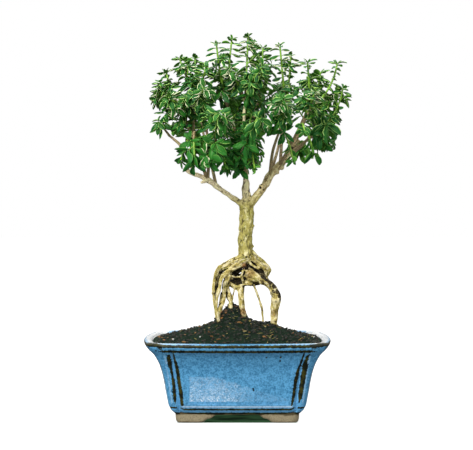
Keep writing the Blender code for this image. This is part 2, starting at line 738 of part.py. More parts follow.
def spray_leaves(stem, size, randomness, obstacles):
    """Leaf blades in opposite pairs up a stem, each pair turned a quarter from the last."""
    leaves = []
    twist = randomness.uniform(0, math.pi)
    for share in LEAF_NODES:
        last = share == LEAF_NODES[-1]
        place = share * (STEM_POINTS - 1)
        index = min(int(place), STEM_POINTS - 2)
        base = stem[index].lerp(stem[index + 1], place - index)
        tangent = (stem[index + 1] - stem[index]).normalized()
        spread = math.radians(TIP_SPREAD if last else randomness.uniform(*LEAF_SPREAD))
        blade = LEAF_LENGTH * size * randomness.uniform(*LEAF_SIZES) * (TIP_SIZE if last else 1.0)
        for direction, face in pair_directions(base, tangent, twist, spread):
            roll = randomness.uniform(-LEAF_ROLL, LEAF_ROLL)
            leaf = place_leaf(base, tangent, direction, face, roll, blade, obstacles)
            if leaf:
                leaves.append(leaf)
        twist += math.pi / 2 + randomness.uniform(-PAIR_TURN, PAIR_TURN)
    return leaves


def place_leaf(base, tangent, direction, face, roll, blade, obstacles):
    """One leaf, turned round its stem until it clears all that isn't its own spray."""
    for nudge in NUDGES:
        turn = Quaternion(tangent, nudge)
        turned = turn @ direction
        facing = Quaternion(turned, roll) @ (turn @ face)
        shape = leaf_shape(blade, blade * LEAF_SLENDERNESS)
        shape.transform(leaf_matrix(base, turned, facing))
        if clears(shape, obstacles):
            return shape
        shape.free()
    return None


def make_tree(collection, cutters, spurs):
    """Trunk, limbs, twigs, roots and the spurs that carry the green stems, as one piece."""
    points, radii = split_path(TRUNK)
    trunk = tube("tree", points, radii, ROUND_8, collection)
    parts = []
    for name, path in LIMBS.items():
        points, radii = split_path(path)
        parts.append(tube(name, points, radii, ROUND_6, cutters))
    for name, path in ROOTS.items():
        parts.append(tube(name, *root_bar(path), cutters))
    for name, path in TWIGS.items():
        points = [Vector(row) for row in path]
        parts.append(tube(f"twig_{name}", points, taper(len(points), TWIG_RADII), ROUND_4, cutters))
    for index, line in enumerate(spurs):
        parts.append(tube(f"spur_{index:02d}", line, SPUR_RADII, ROUND_4, cutters))
    combine(trunk, parts, "UNION", "MANIFOLD")
    return trunk


def spur_line(line, length, twig):
    """The woody line from inside a twig's end to just below a spray's stem."""
    point, heading = fork_point(twig)
    start = point - heading * SPUR_ROOT
    base = walk(line, length)
    onward = (walk(line, length - 1.0) - base).normalized()
    turn = (base - start).normalized().cross(onward).length
    end = walk(line, length + SPUR_END_GAP + SPUR_RADII[1] * turn)
    return [start, end]


def make_sprays(collection, cutters, lines, tree):
    """The leafy stems: each is one green stem with its leaves fused to it."""
    stems = []
    for index, line in enumerate(lines):
        points = spray_stem(line)[0]
        item = tube(f"spray_{index + 1:02d}", points, taper(STEM_POINTS, STEM_RADII), ROUND_4, collection)
        stems.append((item, points))
    wood = triangle_tree(tree)
    bare = [triangle_tree(item) for item, points in stems]
    randomness = random.Random(SPRAY_SEED)
    placed = []
    for index, (item, points) in enumerate(stems):
        others = [wood] + bare[:index] + bare[index + 1:] + placed
        shapes = spray_leaves(points, SPRAYS[index][3], randomness, others)
        placed += [BVHTree.FromBMesh(shape, epsilon=LEAF_CLEARANCE) for shape in shapes]
        leaves = [add_object(f"{item.name}_leaf_{n}", shape, cutters) for n, shape in enumerate(shapes)]
        combine(item, leaves, "UNION", "MANIFOLD")
    return [item for item, points in stems]


def finish(item, material):
    item.data.materials.clear()
    item.data.materials.append(material)
    item.data.transform(Matrix.Translation(PLACE * MM))
    item.data.shade_smooth()
    item.data.set_sharp_from_angle(angle=SHARP_ANGLE)


def main():
    for item in tuple(bpy.data.objects):
        bpy.data.objects.remove(item)
    collection = add_collection("serissa_bonsai")
    cutters = add_collection("cutters")
    glaze = add_material("blue_glaze", (0.10, 0.30, 0.52), 0.12)
    earth = add_material("soil", (0.035, 0.040, 0.025), 0.95)
    bark = add_material("bark", (0.42, 0.34, 0.22), 0.8)
    leaf = add_material("leaf", (0.07, 0.22, 0.04), 0.4)
    lines = [spray_path(twig, tip, arching) for twig, tip, arching, size in SPRAYS]
    spurs = [spur_line(line, spray_stem(line)[1], row[0]) for line, row in zip(lines, SPRAYS)]
    pot = make_pot(collection, cutters)
    soil = make_soil(collection, cutters)
    tree = make_tree(collection, cutters, spurs)
    sprays = make_sprays(collection, cutters, lines, tree)
    finish(pot, glaze)
    finish(soil, earth)
    finish(tree, bark)
    for spray in sprays:
        finish(spray, leaf)


main()
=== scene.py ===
"""Serissa bonsai: the looks of a small tree on exposed roots, in a glazed pot on bracket feet.

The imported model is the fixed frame. Finer pieces stand for its nodes and keep their form.
They are laid out in millimetres from the middle of the pot, with +Z up and the front
towards -Y, and each finished mesh is then scaled to metres and moved by PLACE.
"""
import math
import random

import bmesh
import bpy
from bpy.props import FloatProperty, FloatVectorProperty, IntProperty, PointerProperty
from mathutils import Matrix, Quaternion, Vector, noise
from mathutils.bvhtree import BVHTree
from mathutils.kdtree import KDTree


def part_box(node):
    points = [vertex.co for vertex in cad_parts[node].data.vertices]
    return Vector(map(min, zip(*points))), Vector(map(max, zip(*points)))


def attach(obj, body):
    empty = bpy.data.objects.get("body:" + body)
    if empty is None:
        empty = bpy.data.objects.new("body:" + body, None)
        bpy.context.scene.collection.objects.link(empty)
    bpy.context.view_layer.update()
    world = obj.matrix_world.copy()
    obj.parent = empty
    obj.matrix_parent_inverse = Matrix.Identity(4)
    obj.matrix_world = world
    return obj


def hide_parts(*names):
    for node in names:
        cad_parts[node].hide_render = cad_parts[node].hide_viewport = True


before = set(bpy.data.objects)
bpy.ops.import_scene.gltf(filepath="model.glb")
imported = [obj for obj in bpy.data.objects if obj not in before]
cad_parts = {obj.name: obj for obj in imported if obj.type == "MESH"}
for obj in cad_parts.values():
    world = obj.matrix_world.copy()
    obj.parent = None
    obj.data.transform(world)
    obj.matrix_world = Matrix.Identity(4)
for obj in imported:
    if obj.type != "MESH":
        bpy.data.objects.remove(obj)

bl_info = {
    "name": "Serissa bonsai",
    "version": (1, 0, 0),
    "blender": (4, 5, 0),
    "location": "3D View > Sidebar > Bonsai",
    "description": "Builds the looks of a serissa bonsai around its packed model",
    "category": "Add Mesh",
}

MM = 0.001
UP = Vector((0.0, 0.0, 1.0))
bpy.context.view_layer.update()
POT_LOW, POT_HIGH = (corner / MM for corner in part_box("pot"))
PLACE = Vector(((POT_LOW.x + POT_HIGH.x) / 2, (POT_LOW.y + POT_HIGH.y) / 2, 0.0))

# Pot: one row per height of its silhouette, with the half width there
POT_ROWS = (
    (9.4, 66.5), (11.2, 68), (13.5, 70.2), (14.4, 71.1), (15.5, 71.4), (17.6, 72.7), (20, 73.7),
    (23.5, 74.6), (30, 76), (34.4, 77), (39.8, 77.9), (45, 79.1), (50.2, 80.3), (55.3, 81.9), (60.6, 83.8),
    (64.9, 86), (69.2, 88.6), (72.4, 90.9), (74.5, 93.1), (76.7, 95.6), (78.8, 97.6), (80.9, 98.9),
    (82.9, 99.6), (84.4, 99.3), (85.4, 98.3), (85.8, 96.6),
)
LIP_ROWS = ((85.8, 94), (85.5, 92.4), (84.6, 91.4), (83, 90.7))
BED_ROWS = ((16, 63), (21, 67.5), (52, 74), (72, 83), (83, 90.3))
POT_DEPTH_LOSS = 22.0
POT_BOTTOM = 9.4
POT_FLOOR = 16.0
FACE_HEIGHTS = (17.0, 77.0)
FACE_ENDS = (64.0, 71.5)
BOW_HEIGHTS = (17.0, 83.0)
BOWS = (1.5, 5.0)
CORNER_MIN = 6.0
GROOVE_MIDDLE = 3.4
GROOVE_HALF = 3.0
GROOVE_DEPTH = 2.3
GROOVE_FADE = (75.5, 81.0)
WINDOW_INSET = 12.0
WINDOW_DEPTH = 1.0
WINDOW_EDGE = 1.4
WINDOW_HEIGHTS = (20.0, 76.6)
# The dark strips left and right of each corner groove, first those of the left half:
# rows of height, distance from the face's end and half width
STRIPS = {
    -1: (
        (
            (20.5, -0.1, 0.6), (29, 0.6, 1.9), (44, 1.2, 1.6), (52, 1.3, 1.2), (59, 0.4, 1.6),
            (67, 0.2, 2.1), (74, 0.1, 1.9),
        ),
        ((19, 7.1, 1.5), (33, 7.6, 2), (48, 7.2, 1.9), (63, 6.8, 1.5), (71, 5.9, 1.1), (76, 5.8, 0.6)),
    ),
    1: (
        (
            (22.5, 0.4, 0.8), (29, 0.4, 2.2), (44, -0.1, 2.6), (52, -0.6, 2.8), (61.5, -0.4, 3.1),
            (68.5, -1.2, 2.5), (74.5, -1.9, 1.3),
        ),
        (
            (19, 7.9, 0.9), (26, 7.5, 1.5), (40.5, 7.3, 1.6), (48, 7, 1.9), (58, 6.3, 1.4), (63, 4.8, 1.1),
            (71, 3.5, 1), (76.5, 2.5, 0.7),
        ),
    ),
}
# The painted reflection on the front face, a pale patch: its left and right edges, its top and how that
# slopes down
REFLECTION_ENDS = (-49.6, 22.0)
REFLECTION_LOW = 23.6
REFLECTION_HIGH = 50.5
REFLECTION_BEND = -24.0
REFLECTION_SLOPE = 0.32
# Small dark flaws in the glaze of the front face: x, height, radius
FLAWS = ((44.4, 71.3, 1.2), (44, 67.3, 0.9), (16.4, 37.4, 0.9), (16.8, 35.6, 0.8), (30, 71, 0.6))
DRAIN_RADIUS = 7.0
DRAIN_SPACING = 76.0
# Points along a quarter of the wall: fine near a face's end, coarse towards its middle
NEAR_END = 17.0
NEAR_STEPS = 20
FAR_STEPS = 9
CORNER_STEPS = 12
# Steps up the wall: coarse between two heights, fine below and above them
FINE_STEP = 0.55
COARSE_STEP = 1.3
COARSE_HEIGHTS = (21.0, 74.0)

# Feet: a ring under the pot, with an arch in each side
FEET_HALF_X = 64.0
FEET_HALF_Y = 43.0
FEET_CORNER = 8.0
FEET_WALL = 9.0
FEET_TOP = 11.0
ARCH_FRONT_HALF = 40.0
ARCH_SIDE_HALF = 20.0
ARCH_ROWS = ((0, 8.5), (0.575, 8.3), (0.635, 6.8), (0.7, 4.8), (0.825, 3.6), (0.913, 1), (1, 0))

# Soil: a dome with two heaps; one row per heap: x, y, height, spread
SOIL_BOTTOM = 16.4
SOIL_GAP = 0.5
SOIL_STEPS = 56
SOIL_EDGE = 83.0
SOIL_RISE = 20.0
SOIL_REACH_X = 90.0
SOIL_REACH_Y = 70.0
SOIL_SLOPE = 1.35
SOIL_HEAPS = ((-6, -2, 19, 10.5), (36, 2, 4, 8))

# Tree: each path is a list of x, y, z and radius
TRUNK = (
    (8.5, 3, 163.5, 4.5), (9, 1.5, 168.5, 6.4), (9.3, 0.3, 173.5, 7.8), (8.8, 0, 180, 7.9),
    (8.6, 0, 194.9, 7.5), (10.2, 0, 215.3, 7.7), (10.4, 0, 227.3, 7.6), (11, 0, 233.3, 6.4),
)
LIMBS = {
    "left": (
        (8, 0, 224.3, 4.6), (3.5, 0, 229.3, 3.4), (-9.4, -2, 237.9, 2.9), (-22.4, -4, 246.9, 2.8),
        (-32.7, -6, 254.9, 2.9), (-48.5, -10, 261.3, 2.4), (-54.9, -12, 265.1, 2.1),
    ),
    "left_stub": ((-30, -6, 253.3, 2), (-39, -9, 250.8, 1.5)),
    "centre": (
        (10, 0, 225.3, 4.6), (8.8, -1, 236.7, 4), (8.8, -1, 243.3, 4.3), (9.3, -1, 253.8, 3.3),
        (8, -2, 264.3, 2.8), (6, -4, 279.3, 2.3), (5, -6, 296.3, 2), (7.2, -10, 318, 1.7),
        (8, -12, 338.3, 1.4),
    ),
    "right": (
        (11, 0, 222.3, 5.2), (16.5, 0, 231.3, 4.6), (26.8, 1, 244.3, 4.2), (34.7, 2, 257.3, 4.2),
        (45, 4, 269, 3.9), (55.3, 6, 279.5, 3.4), (60.2, 7, 290.2, 3), (66, 8, 296.8, 2.6),
    ),
}
TWIGS = {
    "left_front": ((-47, -10, 260.7), (-49, -13, 277.3), (-46.5, -14, 299.3), (-46, -14, 321.3)),
    "left_tall": ((-31.5, -6, 254.1), (-30.5, -6, 278.3), (-33, -4, 308.3), (-41, -6, 341.3)),
    "left_high": ((-46.8, -14, 295.3), (-54, -10, 315.3), (-62, -8, 333.3)),
    "left_out": ((-49, -13, 277.3), (-61, -4, 291.3), (-74, 4, 302.3)),
    "left_near": ((-32.7, -6, 254.9), (-39, -25, 279.3), (-45, -42, 303.3)),
    "left_far": ((-22.4, -4, 246.9), (-30, 20, 279.3), (-40, 44, 315.3)),
    "middle_left": ((8, -2, 264.3), (-9, -18, 276.3), (-23, -30, 294.3)),
    "middle_tall": ((6, -4, 279.3), (-1, 2, 303.3), (-11, 4, 333.3)),
    "middle_right": ((5.4, -5, 289.3), (14, 4, 309.3), (22, 12, 335.3)),
    "middle_near": ((9, -1, 257.3), (9, -28, 279.3), (10, -50, 301.3)),
    "middle_far": ((9.3, -1, 253.8), (5, 26, 287.3), (5, 54, 321.3)),
    "low_far": ((5.6, 22, 282.3), (-5, 42, 285.3), (-14, 60, 287.3)),
    "right_near": ((34.7, 2, 257.3), (37.5, -22, 284.3), (45, -36, 307.3)),
    "right_front": ((45, 4, 269), (56, -22, 290.3), (66, -44, 311.3)),
    "right_tall": ((46, 4, 269.9), (48, 2, 298.3), (52, 4, 329.3)),
    "right_high": ((60.2, 7, 290.2), (68, 4, 307.3), (77, -2, 329.3)),
    "right_out": ((58, 6.6, 284.3), (72, 0, 294.3), (86, -4, 304.3)),
    "right_far": ((34.7, 2, 257.3), (44, 26, 287.3), (52, 50, 319.3)),
    "far_out": ((55.3, 6, 279.5), (70, 24, 291.3), (82, 36, 305.3)),
}
TWIG_RADII = (1.9, 1.25)
ROOTS = {
    "left_upper": (
        (7, -1, 171.4, 5.2), (-1.3, -3, 168, 4.3), (-8.1, -5, 165, 3.9), (-11.9, -5.8, 162.6, 4),
        (-16.6, -6.5, 159, 3.9),
    ),
    "left_outer": (
        (-19, -6, 161, 2.6), (-22.3, -6, 154.1, 2.3), (-24.6, -5.5, 142.3, 2.2), (-24.4, -4.5, 128.3, 2.2),
        (-22.5, -5, 113.6, 2), (-21.3, -6, 89.9, 1.7),
    ),
    "left_front": (
        (8, -4.5, 165, 3.6), (-1.5, -8.5, 161.3, 2.8), (-6.6, -10.5, 158.5, 3.2), (-12.2, -12.5, 154.4, 2.9),
        (-17, -13, 148.8, 2.1), (-18.7, -13.5, 140.8, 2), (-22.9, -14, 122.6, 2.1), (-21, -15, 109.9, 1.9),
        (-17.8, -16, 90.8, 1.5),
    ),
    "left_inner": (
        (-8.9, -10, 152.6, 2.8), (-12.3, -10.5, 145, 2.7), (-14.1, -10.5, 136, 2.6),
        (-15, -10.5, 124.5, 2.5), (-19.4, -11.5, 114.8, 2.2), (-21.1, -13, 92.6, 1.7),
    ),
    "middle_left": (
        (-11.1, -4.5, 141.5, 2.4), (-9.8, -5.5, 134, 2.9), (-8.5, -7, 127.6, 3), (-7, -8, 122, 2.5),
        (-7.9, -8, 103.4, 1.9),
    ),
    "left_wedge": ((-9.5, -2, 144.3, 2.4), (-4.4, -4, 141, 2.6), (1.4, -5, 137.6, 2.5)),
    "middle_front": (
        (2.4, -3, 140.8, 3.4), (3.5, -6, 134, 3.3), (4.1, -7.5, 127.4, 3.2), (4.9, -8, 120.8, 3.1),
        (6.4, -8.5, 113.5, 3.1), (7.4, -8.5, 97.5, 2.7),
    ),
    "plate": (
        (-8.3, 1.5, 144.4, 3.2), (-1.3, 2.5, 143.4, 3.9), (8.1, 2.5, 144.6, 4.8), (16.8, 1.5, 145, 5),
        (24.2, 0, 145.2, 3.6),
    ),
    "back_wall": ((-5, 7.5, 149.5, 3.8), (2.1, 8, 148.4, 4.6), (9.5, 7.5, 149.5, 4.6)),
    "right_upper": (
        (13.5, 1, 174.4, 5.6), (22.1, 2.5, 166.6, 5.2), (26.8, 3.2, 163.2, 4.9), (31, 4.2, 158.6, 4.6),
        (31.2, 6, 154, 3.8), (29.2, 9, 149, 3.2), (36, 12.5, 138, 2.6), (40.6, 14, 124, 2.5),
        (40.2, 15, 108.5, 2.4), (39.3, 16, 89.7, 2),
    ),
    "right_back": ((14.8, 5, 167.1, 4.5), (20.2, 7, 159, 4.5), (25.6, 8, 152.8, 4.2), (31, 6, 145.6, 3)),
    "right_main": (
        (11, 4, 163, 3.6), (12.3, 0.5, 157, 4.6), (14.2, -3, 152.4, 6.3), (19.4, -4.5, 149.3, 5.4),
        (25.4, -5, 146.9, 4.3), (31.1, -5, 144.6, 4.3), (37.2, -5, 138.6, 4.8), (41, -5, 132.4, 5.1),
        (41.6, -5, 126.2, 5.1), (40.2, -5, 118.5, 4.4), (39.4, -5, 107.8, 4), (38.9, -5, 88.1, 2.6),
    ),
    "right_thin": (
        (17.8, -1, 140.6, 1.6), (21.3, -0.5, 131.6, 1.3), (26.1, 1, 117.3, 1.3), (27.3, 2, 107, 1.3),
        (28, 2, 90.1, 1.2),
    ),
    "far_left": (
        (4, 4, 159.5, 4.4), (-3.5, 8, 155.5, 4.4), (-9.7, 14, 142.6, 2.8), (-14.3, 17, 131.6, 2.6),
        (-18.5, 19, 109.8, 2.4), (-20.2, 19, 88.7, 2),
    ),
    "far_right": (
        (10.1, 5, 154.7, 4.4), (8.2, 12, 146.9, 3.4), (5.2, 17, 139.1, 2.9), (4.6, 20, 119.8, 2.7),
        (6.5, 20, 108.3, 2.6), (7.4, 20, 88.6, 2.3),
    ),
    "crossing_low": ((-1.9, -7, 138.4, 1.1), (5.4, -6, 142.1, 1), (14.1, -2, 141.8, 1.2)),
    "crossing_high": (
        (-9.9, -11, 153.9, 1.4), (-5.2, -9, 151.3, 1.2), (1.5, -6.5, 150.2, 1.2), (8.4, -3, 151.5, 1.3),
    ),
}
# Roots too thin for the imported model, and, in the last two rows, dark roots put into the shadowed gaps
# between the left roots: painted shadow
THIN_AND_SHADE_ROOTS = (
    (
        (8.4, -4.5, 157.8, 1.3), (5.6, -6.5, 157.2, 1.4), (5.1, -6.5, 154.1, 1.2), (4.5, -6, 150.4, 1.2),
        (6.2, -4, 146.3, 1.3),
    ),
    ((13, -3, 165, 1.3), (17.6, -2.5, 161.8, 1.3), (23.6, 0, 158.3, 1.4)),
    ((-2.9, -5.5, 137.6, 1), (-4.5, -6, 130.6, 0.85), (-5.4, -6.5, 124, 0.85), (-6.1, -7, 115.3, 0.9)),
    (
        (-17.5, -3, 158.5, 3), (-19.5, -3, 151, 2.6), (-20.9, -3, 144, 2.2), (-21.8, -4, 137.5, 1.5),
        (-23, -4.5, 130.5, 1),
    ),
    ((-16.6, -8, 134.5, 1.2), (-18.1, -8.5, 126.3, 1.4), (-18.9, -10, 119.5, 1.1)),
)
# Knots and scars on the wood: x, y, z, radius
KNOTS = (
    (9, -2.4, 240.5, 3.4), (11.5, -1, 238.5, 3.2), (26.5, -1, 246, 3.6), (31, 1, 249, 3.9),
    (41.5, 0.5, 262.5, 3.6), (47, 6, 268, 3.3), (17, -1.5, 205, 1.5), (2, -1.5, 188, 1.4),
    (16.4, -1, 183, 1.6), (-18.4, -6.5, 160, 3.3), (32.2, 4.6, 157, 4.2), (6, -6, 162.5, 3.2),
    (-53.5, -12.5, 266, 2.5), (4.4, -9.5, 127, 2.4), (-25.3, -5.5, 133, 2.4), (40.6, -7.5, 104.5, 2.4),
    (-10.9, -7, 137.5, 2.2),
)
# Places of painted shade on the bark, in the hollow under the trunk, between roots and under the crown: x,
# y, z, reach and strength
SHADE_SPOTS = (
    (1, 2, 152, 11, 1), (8, 4, 151, 7, 1), (10.5, 0, 162.5, 6.5, 1), (20.5, 4, 157, 9, 1),
    (27, 5, 151, 6.5, 0.9), (3, 0, 142, 6.5, 1), (11, 0, 142, 8, 1), (20, 0, 142, 7, 1),
    (-4.5, -1, 146.5, 6, 1), (45.5, -3, 133, 6.5, 0.9), (33, -2, 149, 6, 0.9), (41.5, -3, 141, 6, 0.8),
    (46.5, -4, 124, 5, 0.6), (-2, 16, 125, 24, 0.75), (11, -1, 232, 4.5, 0.7), (-20, -2.5, 150, 4, 1),
    (25, -1, 145, 5, 0.9), (35.5, -3, 143.5, 4, 0.9), (37, -1.5, 130, 4.5, 0.9), (44, -2, 115, 5, 0.7),
    (27, -7, 151, 3.6, 1), (31.4, -8, 148.4, 4.2, 1), (35.6, -8.3, 145.2, 4.4, 1),
    (39.6, -8.6, 140.6, 4.4, 1), (43.2, -8.8, 135.4, 4.4, 1), (46, -8.6, 130.4, 4.2, 1),
    (46.4, -8, 126, 3.6, 0.9), (38.4, -9.8, 134.9, 2.6, 0.9), (34.4, -9.8, 140.6, 2.4, 0.8),
    (41.2, -10, 124.4, 2.2, 0.7), (36.6, -8, 129, 2.6, 0.6), (22, -9, 143.5, 3, 0.8),
    (9.6, -7.6, 171.4, 2.4, 0.9), (10.6, -7.4, 168, 2.8, 1), (11.2, -6.4, 164.6, 4, 1),
    (17.4, -7, 172, 2.4, 0.8), (22.5, -1.5, 250, 3.6, 1), (24.4, -3.6, 245.6, 2.2, 1),
    (12.9, -2, 242.4, 2.8, 1), (6.6, -3.6, 255.6, 2.8, 0.8), (57.5, 3, 287.5, 5, 0.8),
    (33.5, -2.4, 262.5, 2.6, 0.8), (1.5, -3, 231.6, 2.6, 0.7), (10.6, -6.5, 180.2, 1.3, 0.9),
    (-20.8, -2.5, 142, 4, 1), (-22, -2.5, 135, 4, 1), (-17.6, -7.5, 128, 5, 1), (-17.5, -5, 155, 3.5, 1),
)
# Places where the bark is rusty brown, in the same form
RUST = (
    (7, -6, 162.5, 5, 1), (14.5, -5, 153, 7.5, 0.55), (-11.8, -11, 111.4, 5, 0.9),
    (-2.2, -8, 119.5, 4.5, 0.9), (6.2, -10, 113.6, 5, 0.8), (39.5, -8, 112, 5, 0.5),
)

# Foliage: each spray grows from the end of a twig to a tip, given as x, y, z,
# then how far its path arches up (or, below zero, sweeps up late) and its leaf size
SPRAY_STEM = 48.0
SPUR_MIN = 11.0
SPUR_ROOT = 2.5
SPUR_RADII = (1.3, 1.2, 0.95)
SPRAYS = (
    ("left_tall", (-62, 8, 384), -0.08, 0.9), ("left_tall", (-46, 26, 386), -0.06, 0.85),
    ("left_tall", (-33, -26, 371), -0.04, 0.9), ("middle_tall", (-22, -18, 397), -0.05, 0.85),
    ("middle_tall", (-6, 26, 406), -0.05, 0.85), ("centre", (11.4, -4, 406), -0.06, 0.85),
    ("middle_right", (28, 34, 398), -0.06, 0.9), ("right_tall", (45, -16, 395), -0.06, 0.85),
    ("right_tall", (58, 26, 389), -0.08, 0.85), ("right_high", (74, -18, 377), -0.06, 0.9),
    ("right_high", (90, 20, 370), -0.1, 0.9), ("right_high", (106, -10, 377), -0.16, 0.9),
    ("right_out", (112, -8, 351), -0.12, 0.95), ("right_out", (94, -24, 313), 0.04, 1.25),
    ("right_out", (93, 2, 296), 0.14, 1), ("right_front", (80, -30, 281), 0.22, 1.2),
    ("right_near", (58, -40, 274), 0.26, 1.3), ("middle_near", (18, -44, 265), 0.26, 0.85),
    ("middle_left", (-12, -40, 267), 0.24, 0.95), ("middle_left", (-28, -58, 273), 0.2, 1.3),
    ("left_near", (-44, -54, 269), 0.22, 1.25), ("left_near", (-59, -34, 274), 0.2, 1.05),
    ("left_out", (-84, -12, 315), 0.12, 1), ("left_high", (-85, -8, 344), -0.02, 0.95),
    ("left_high", (-76, 6, 369), -0.08, 0.9), ("centre", (-8, -38, 369), 0.02, 1),
    ("left_front", (-34, -58, 347), 0.06, 0.95), ("middle_left", (-18, -72, 321), 0.1, 1.05),
    ("middle_near", (24, -84, 315), 0.1, 1.05), ("right_near", (46, -76, 335), 0.04, 0.95),
    ("centre", (26, -44, 371), 0.04, 0.95), ("right_front", (80, -56, 343), 0.02, 0.95),
    ("right_front", (68, -76, 303), 0.12, 1.1), ("left_front", (-72, -40, 337), 0.04, 1),
    ("left_far", (-70, 56, 315), 0.1, 1), ("left_far", (-44, 66, 344), 0.04, 0.95),
    ("middle_far", (-18, 58, 371), -0.02, 0.95), ("middle_far", (22, 68, 361), -0.02, 0.9),
    ("middle_far", (6, 88, 326), 0.08, 1), ("low_far", (-32, 82, 293), 0.14, 1.05),
    ("right_far", (56, 62, 358), 0, 0.95), ("far_out", (92, 46, 347), -0.04, 0.95),
    ("far_out", (95, 50, 307), 0.08, 1), ("far_out", (70, 60, 285), 0.16, 1.1),
)
SPRAY_SEED = 41
BEND_AT = 0.45
BEND_ONWARD = 0.08
BEND_OUTWARD = 2.0
LINE_STEPS = 24
CROWN_MIDDLE = Vector((11.0, 0.0, 322.0))
LEAF_NODES = (0.295, 0.54, 0.78, 0.985)
LEAF_SIZES = (0.88, 1.12)
LEAF_SPREAD = (46.0, 62.0)
TIP_SPREAD = 48.0
TIP_SIZE = 0.8
STEM_RADII = (1.25, 0.95)
SHOOT_RADII = (0.95, 0.9, 0.85, 0.8, 0.7)
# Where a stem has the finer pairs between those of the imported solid, and its side shoots
BETWEEN_NODES = (0.10, 0.42, 0.67)
SIDE_NODES = (0.06, 0.22, 0.38, 0.54, 0.70)
# The pairs round a growing tip: share of the stem's length, leaf size and spread in degrees
TUFT = ((0.90, 0.95, 62.0), (0.955, 0.74, 50.0), (0.985, 0.55, 34.0), (1.0, 0.45, 14.0))
LEAF_ROLL = 0.5
PAIR_TURN = 0.25
# How much a leaf's face follows its stem, the sky and the outside of the crown
YOUNG_FACE = (0.55, 0.65, 0.12)
OLD_FACE = (0.45, 0.30, 0.60)
# Below this height the crown is open: fewer side shoots and larger, drooping leaves
OPEN_BELOW = 318.0
# From the first of these heights to the second, sprays have fewer and fewer side shoots
HIGH_TIPS = (350.0, 380.0)
# How far round the right limb the crown leaves it bare, and how much leaves in front of it are shortened
BARE_REACH = 15.0
SHORTENED = 0.7
# Side shoots: their lengths, and how far they spread from the stem in degrees
SHOOT_LENGTHS = (9.0, 21.0)
SHOOT_SPREAD = 52.0
# Inner shoots: the same, how far apart they are, the lowest, and how their chance grows with height
INNER_LENGTHS = (8.0, 19.0)
INNER_SPREAD = 62.0
INNER_SPACING = (6.0, 9.5)
INNER_FROM = 280.0
INNER_HEIGHTS = (285.0, 345.0)
INNER_CHANCES = (0.06, 0.60)
# The crown stays full in front of the middle stem, this far either side of a place along X
MIDDLE_PLACE = 2.0
MIDDLE_HALF = 24.0
MIDDLE_FROM = 262.0
MIDDLE_CHANCE = 0.65


def colour_setting(name, description, default):
    return FloatVectorProperty(
        name=name, description=description, default=default, size=3, subtype="COLOR", min=0.0, max=1.0,
    )


def number_setting(name, description, default, low, high, **more):
    return FloatProperty(name=name, description=description, default=default, min=low, max=high, **more)


class PotSettings(bpy.types.PropertyGroup):
    glaze_mid: colour_setting("Glaze", "The glaze where it has its usual thickness", (0.125, 0.410, 0.690))
    # The dark glaze also colours the painted shade of the deep mark.
    glaze_dark: colour_setting("Dark glaze", "The darker flecks in the glaze", (0.045, 0.190, 0.360))
    glaze_pool: colour_setting(
        "Pooled glaze", "The glaze where it ran together in grooves and on ledges", (0.150, 0.430, 0.740),
    )
    glaze_thin: colour_setting(
        "Thin glaze", "The glaze where it ran off edges and shows the clay", (0.008, 0.011, 0.006),
    )
    clay: colour_setting("Bare clay", "The unglazed feet and underside", (0.360, 0.300, 0.185))
    gloss: number_setting("Roughness", "How matt the glaze is", 0.13, 0.0, 1.0, subtype="FACTOR")


class SoilSettings(bpy.types.PropertyGroup):
    colour: colour_setting("Soil", "The damp soil", (0.007, 0.016, 0.010))
    crumbs: IntProperty(
        name="Crumbs", description="How many crumbs, chips and grains lie on the soil",
        default=1500, min=0, max=4000,
    )
    seed: IntProperty(name="Seed", description="Which scatter of crumbs is made", default=7, min=0)


class WoodSettings(bpy.types.PropertyGroup):
    voxel: number_setting(
        "Grain of the mesh", "The size of the mesh's faces on roots, trunk and limbs",
        0.00062, 0.0004, 0.002, unit="LENGTH", precision=5,
    )
    relief: number_setting(
        "Bark relief", "How deep the bark's cracks are on the trunk",
        0.00070, 0.0, 0.002, unit="LENGTH", precision=5,
    )
    bark: colour_setting("Bark", "The bark of the trunk and the roots", (0.465, 0.408, 0.108))


class LeafSettings(bpy.types.PropertyGroup):
    length: number_setting(
        "Leaf length", "The length of a full leaf, before each spray's own size",
        0.0155, 0.005, 0.03, unit="LENGTH", precision=4,
    )
    slenderness: number_setting("Slenderness", "A leaf's width as a share of its length", 0.44, 0.2, 0.8)
    old: colour_setting("Old leaf", "The upper side of a full-grown leaf", (0.004, 0.036, 0.007))
    # Low in the crown the leaves turn to this lighter green: painted light, as if bounced up from the floor.
    low_leaf_painted_light: colour_setting(
        "Hanging leaf", "The upper side of the large leaves low in the crown", (0.034, 0.215, 0.024),
    )
    young: colour_setting("Young leaf", "The upper side of a young leaf", (0.020, 0.136, 0.010))
    margin: colour_setting("Leaf margin", "The pale edge of a leaf", (0.860, 0.880, 0.560))
    stem: colour_setting("Green stem", "The young stems", (0.300, 0.600, 0.050))


class StageSettings(bpy.types.PropertyGroup):
    lens: number_setting("Lens", "The camera's focal length", 106.7, 20.0, 300.0, subtype="DISTANCE_CAMERA")
    ambient: number_setting("Ambient light", "How strongly the backdrop lights the object", 0.33, 0.0, 2.0)
    floor: colour_setting("Floor", "The plain floor and backdrop", (0.40, 0.40, 0.40))


def ramp(value, places, levels=(0.0, 1.0)):
    """A number that runs from one level to another, and is level beyond both places."""
    share = (value - places[0]) / (places[1] - places[0])
    share = min(max(share, 0.0), 1.0)
    return levels[0] + share * (levels[1] - levels[0])


def soft_ramp(value, places, levels=(0.0, 1.0)):
    """The same, starting and ending gently."""
    share = ramp(value, places)
    return levels[0] + share * share * (3.0 - 2.0 * share) * (levels[1] - levels[0])


def bump(value, middle, half):
    """One at the middle, falling smoothly to nothing at half a width away."""
    return soft_ramp(abs(value - middle), (0.0, half), (1.0, 0.0))


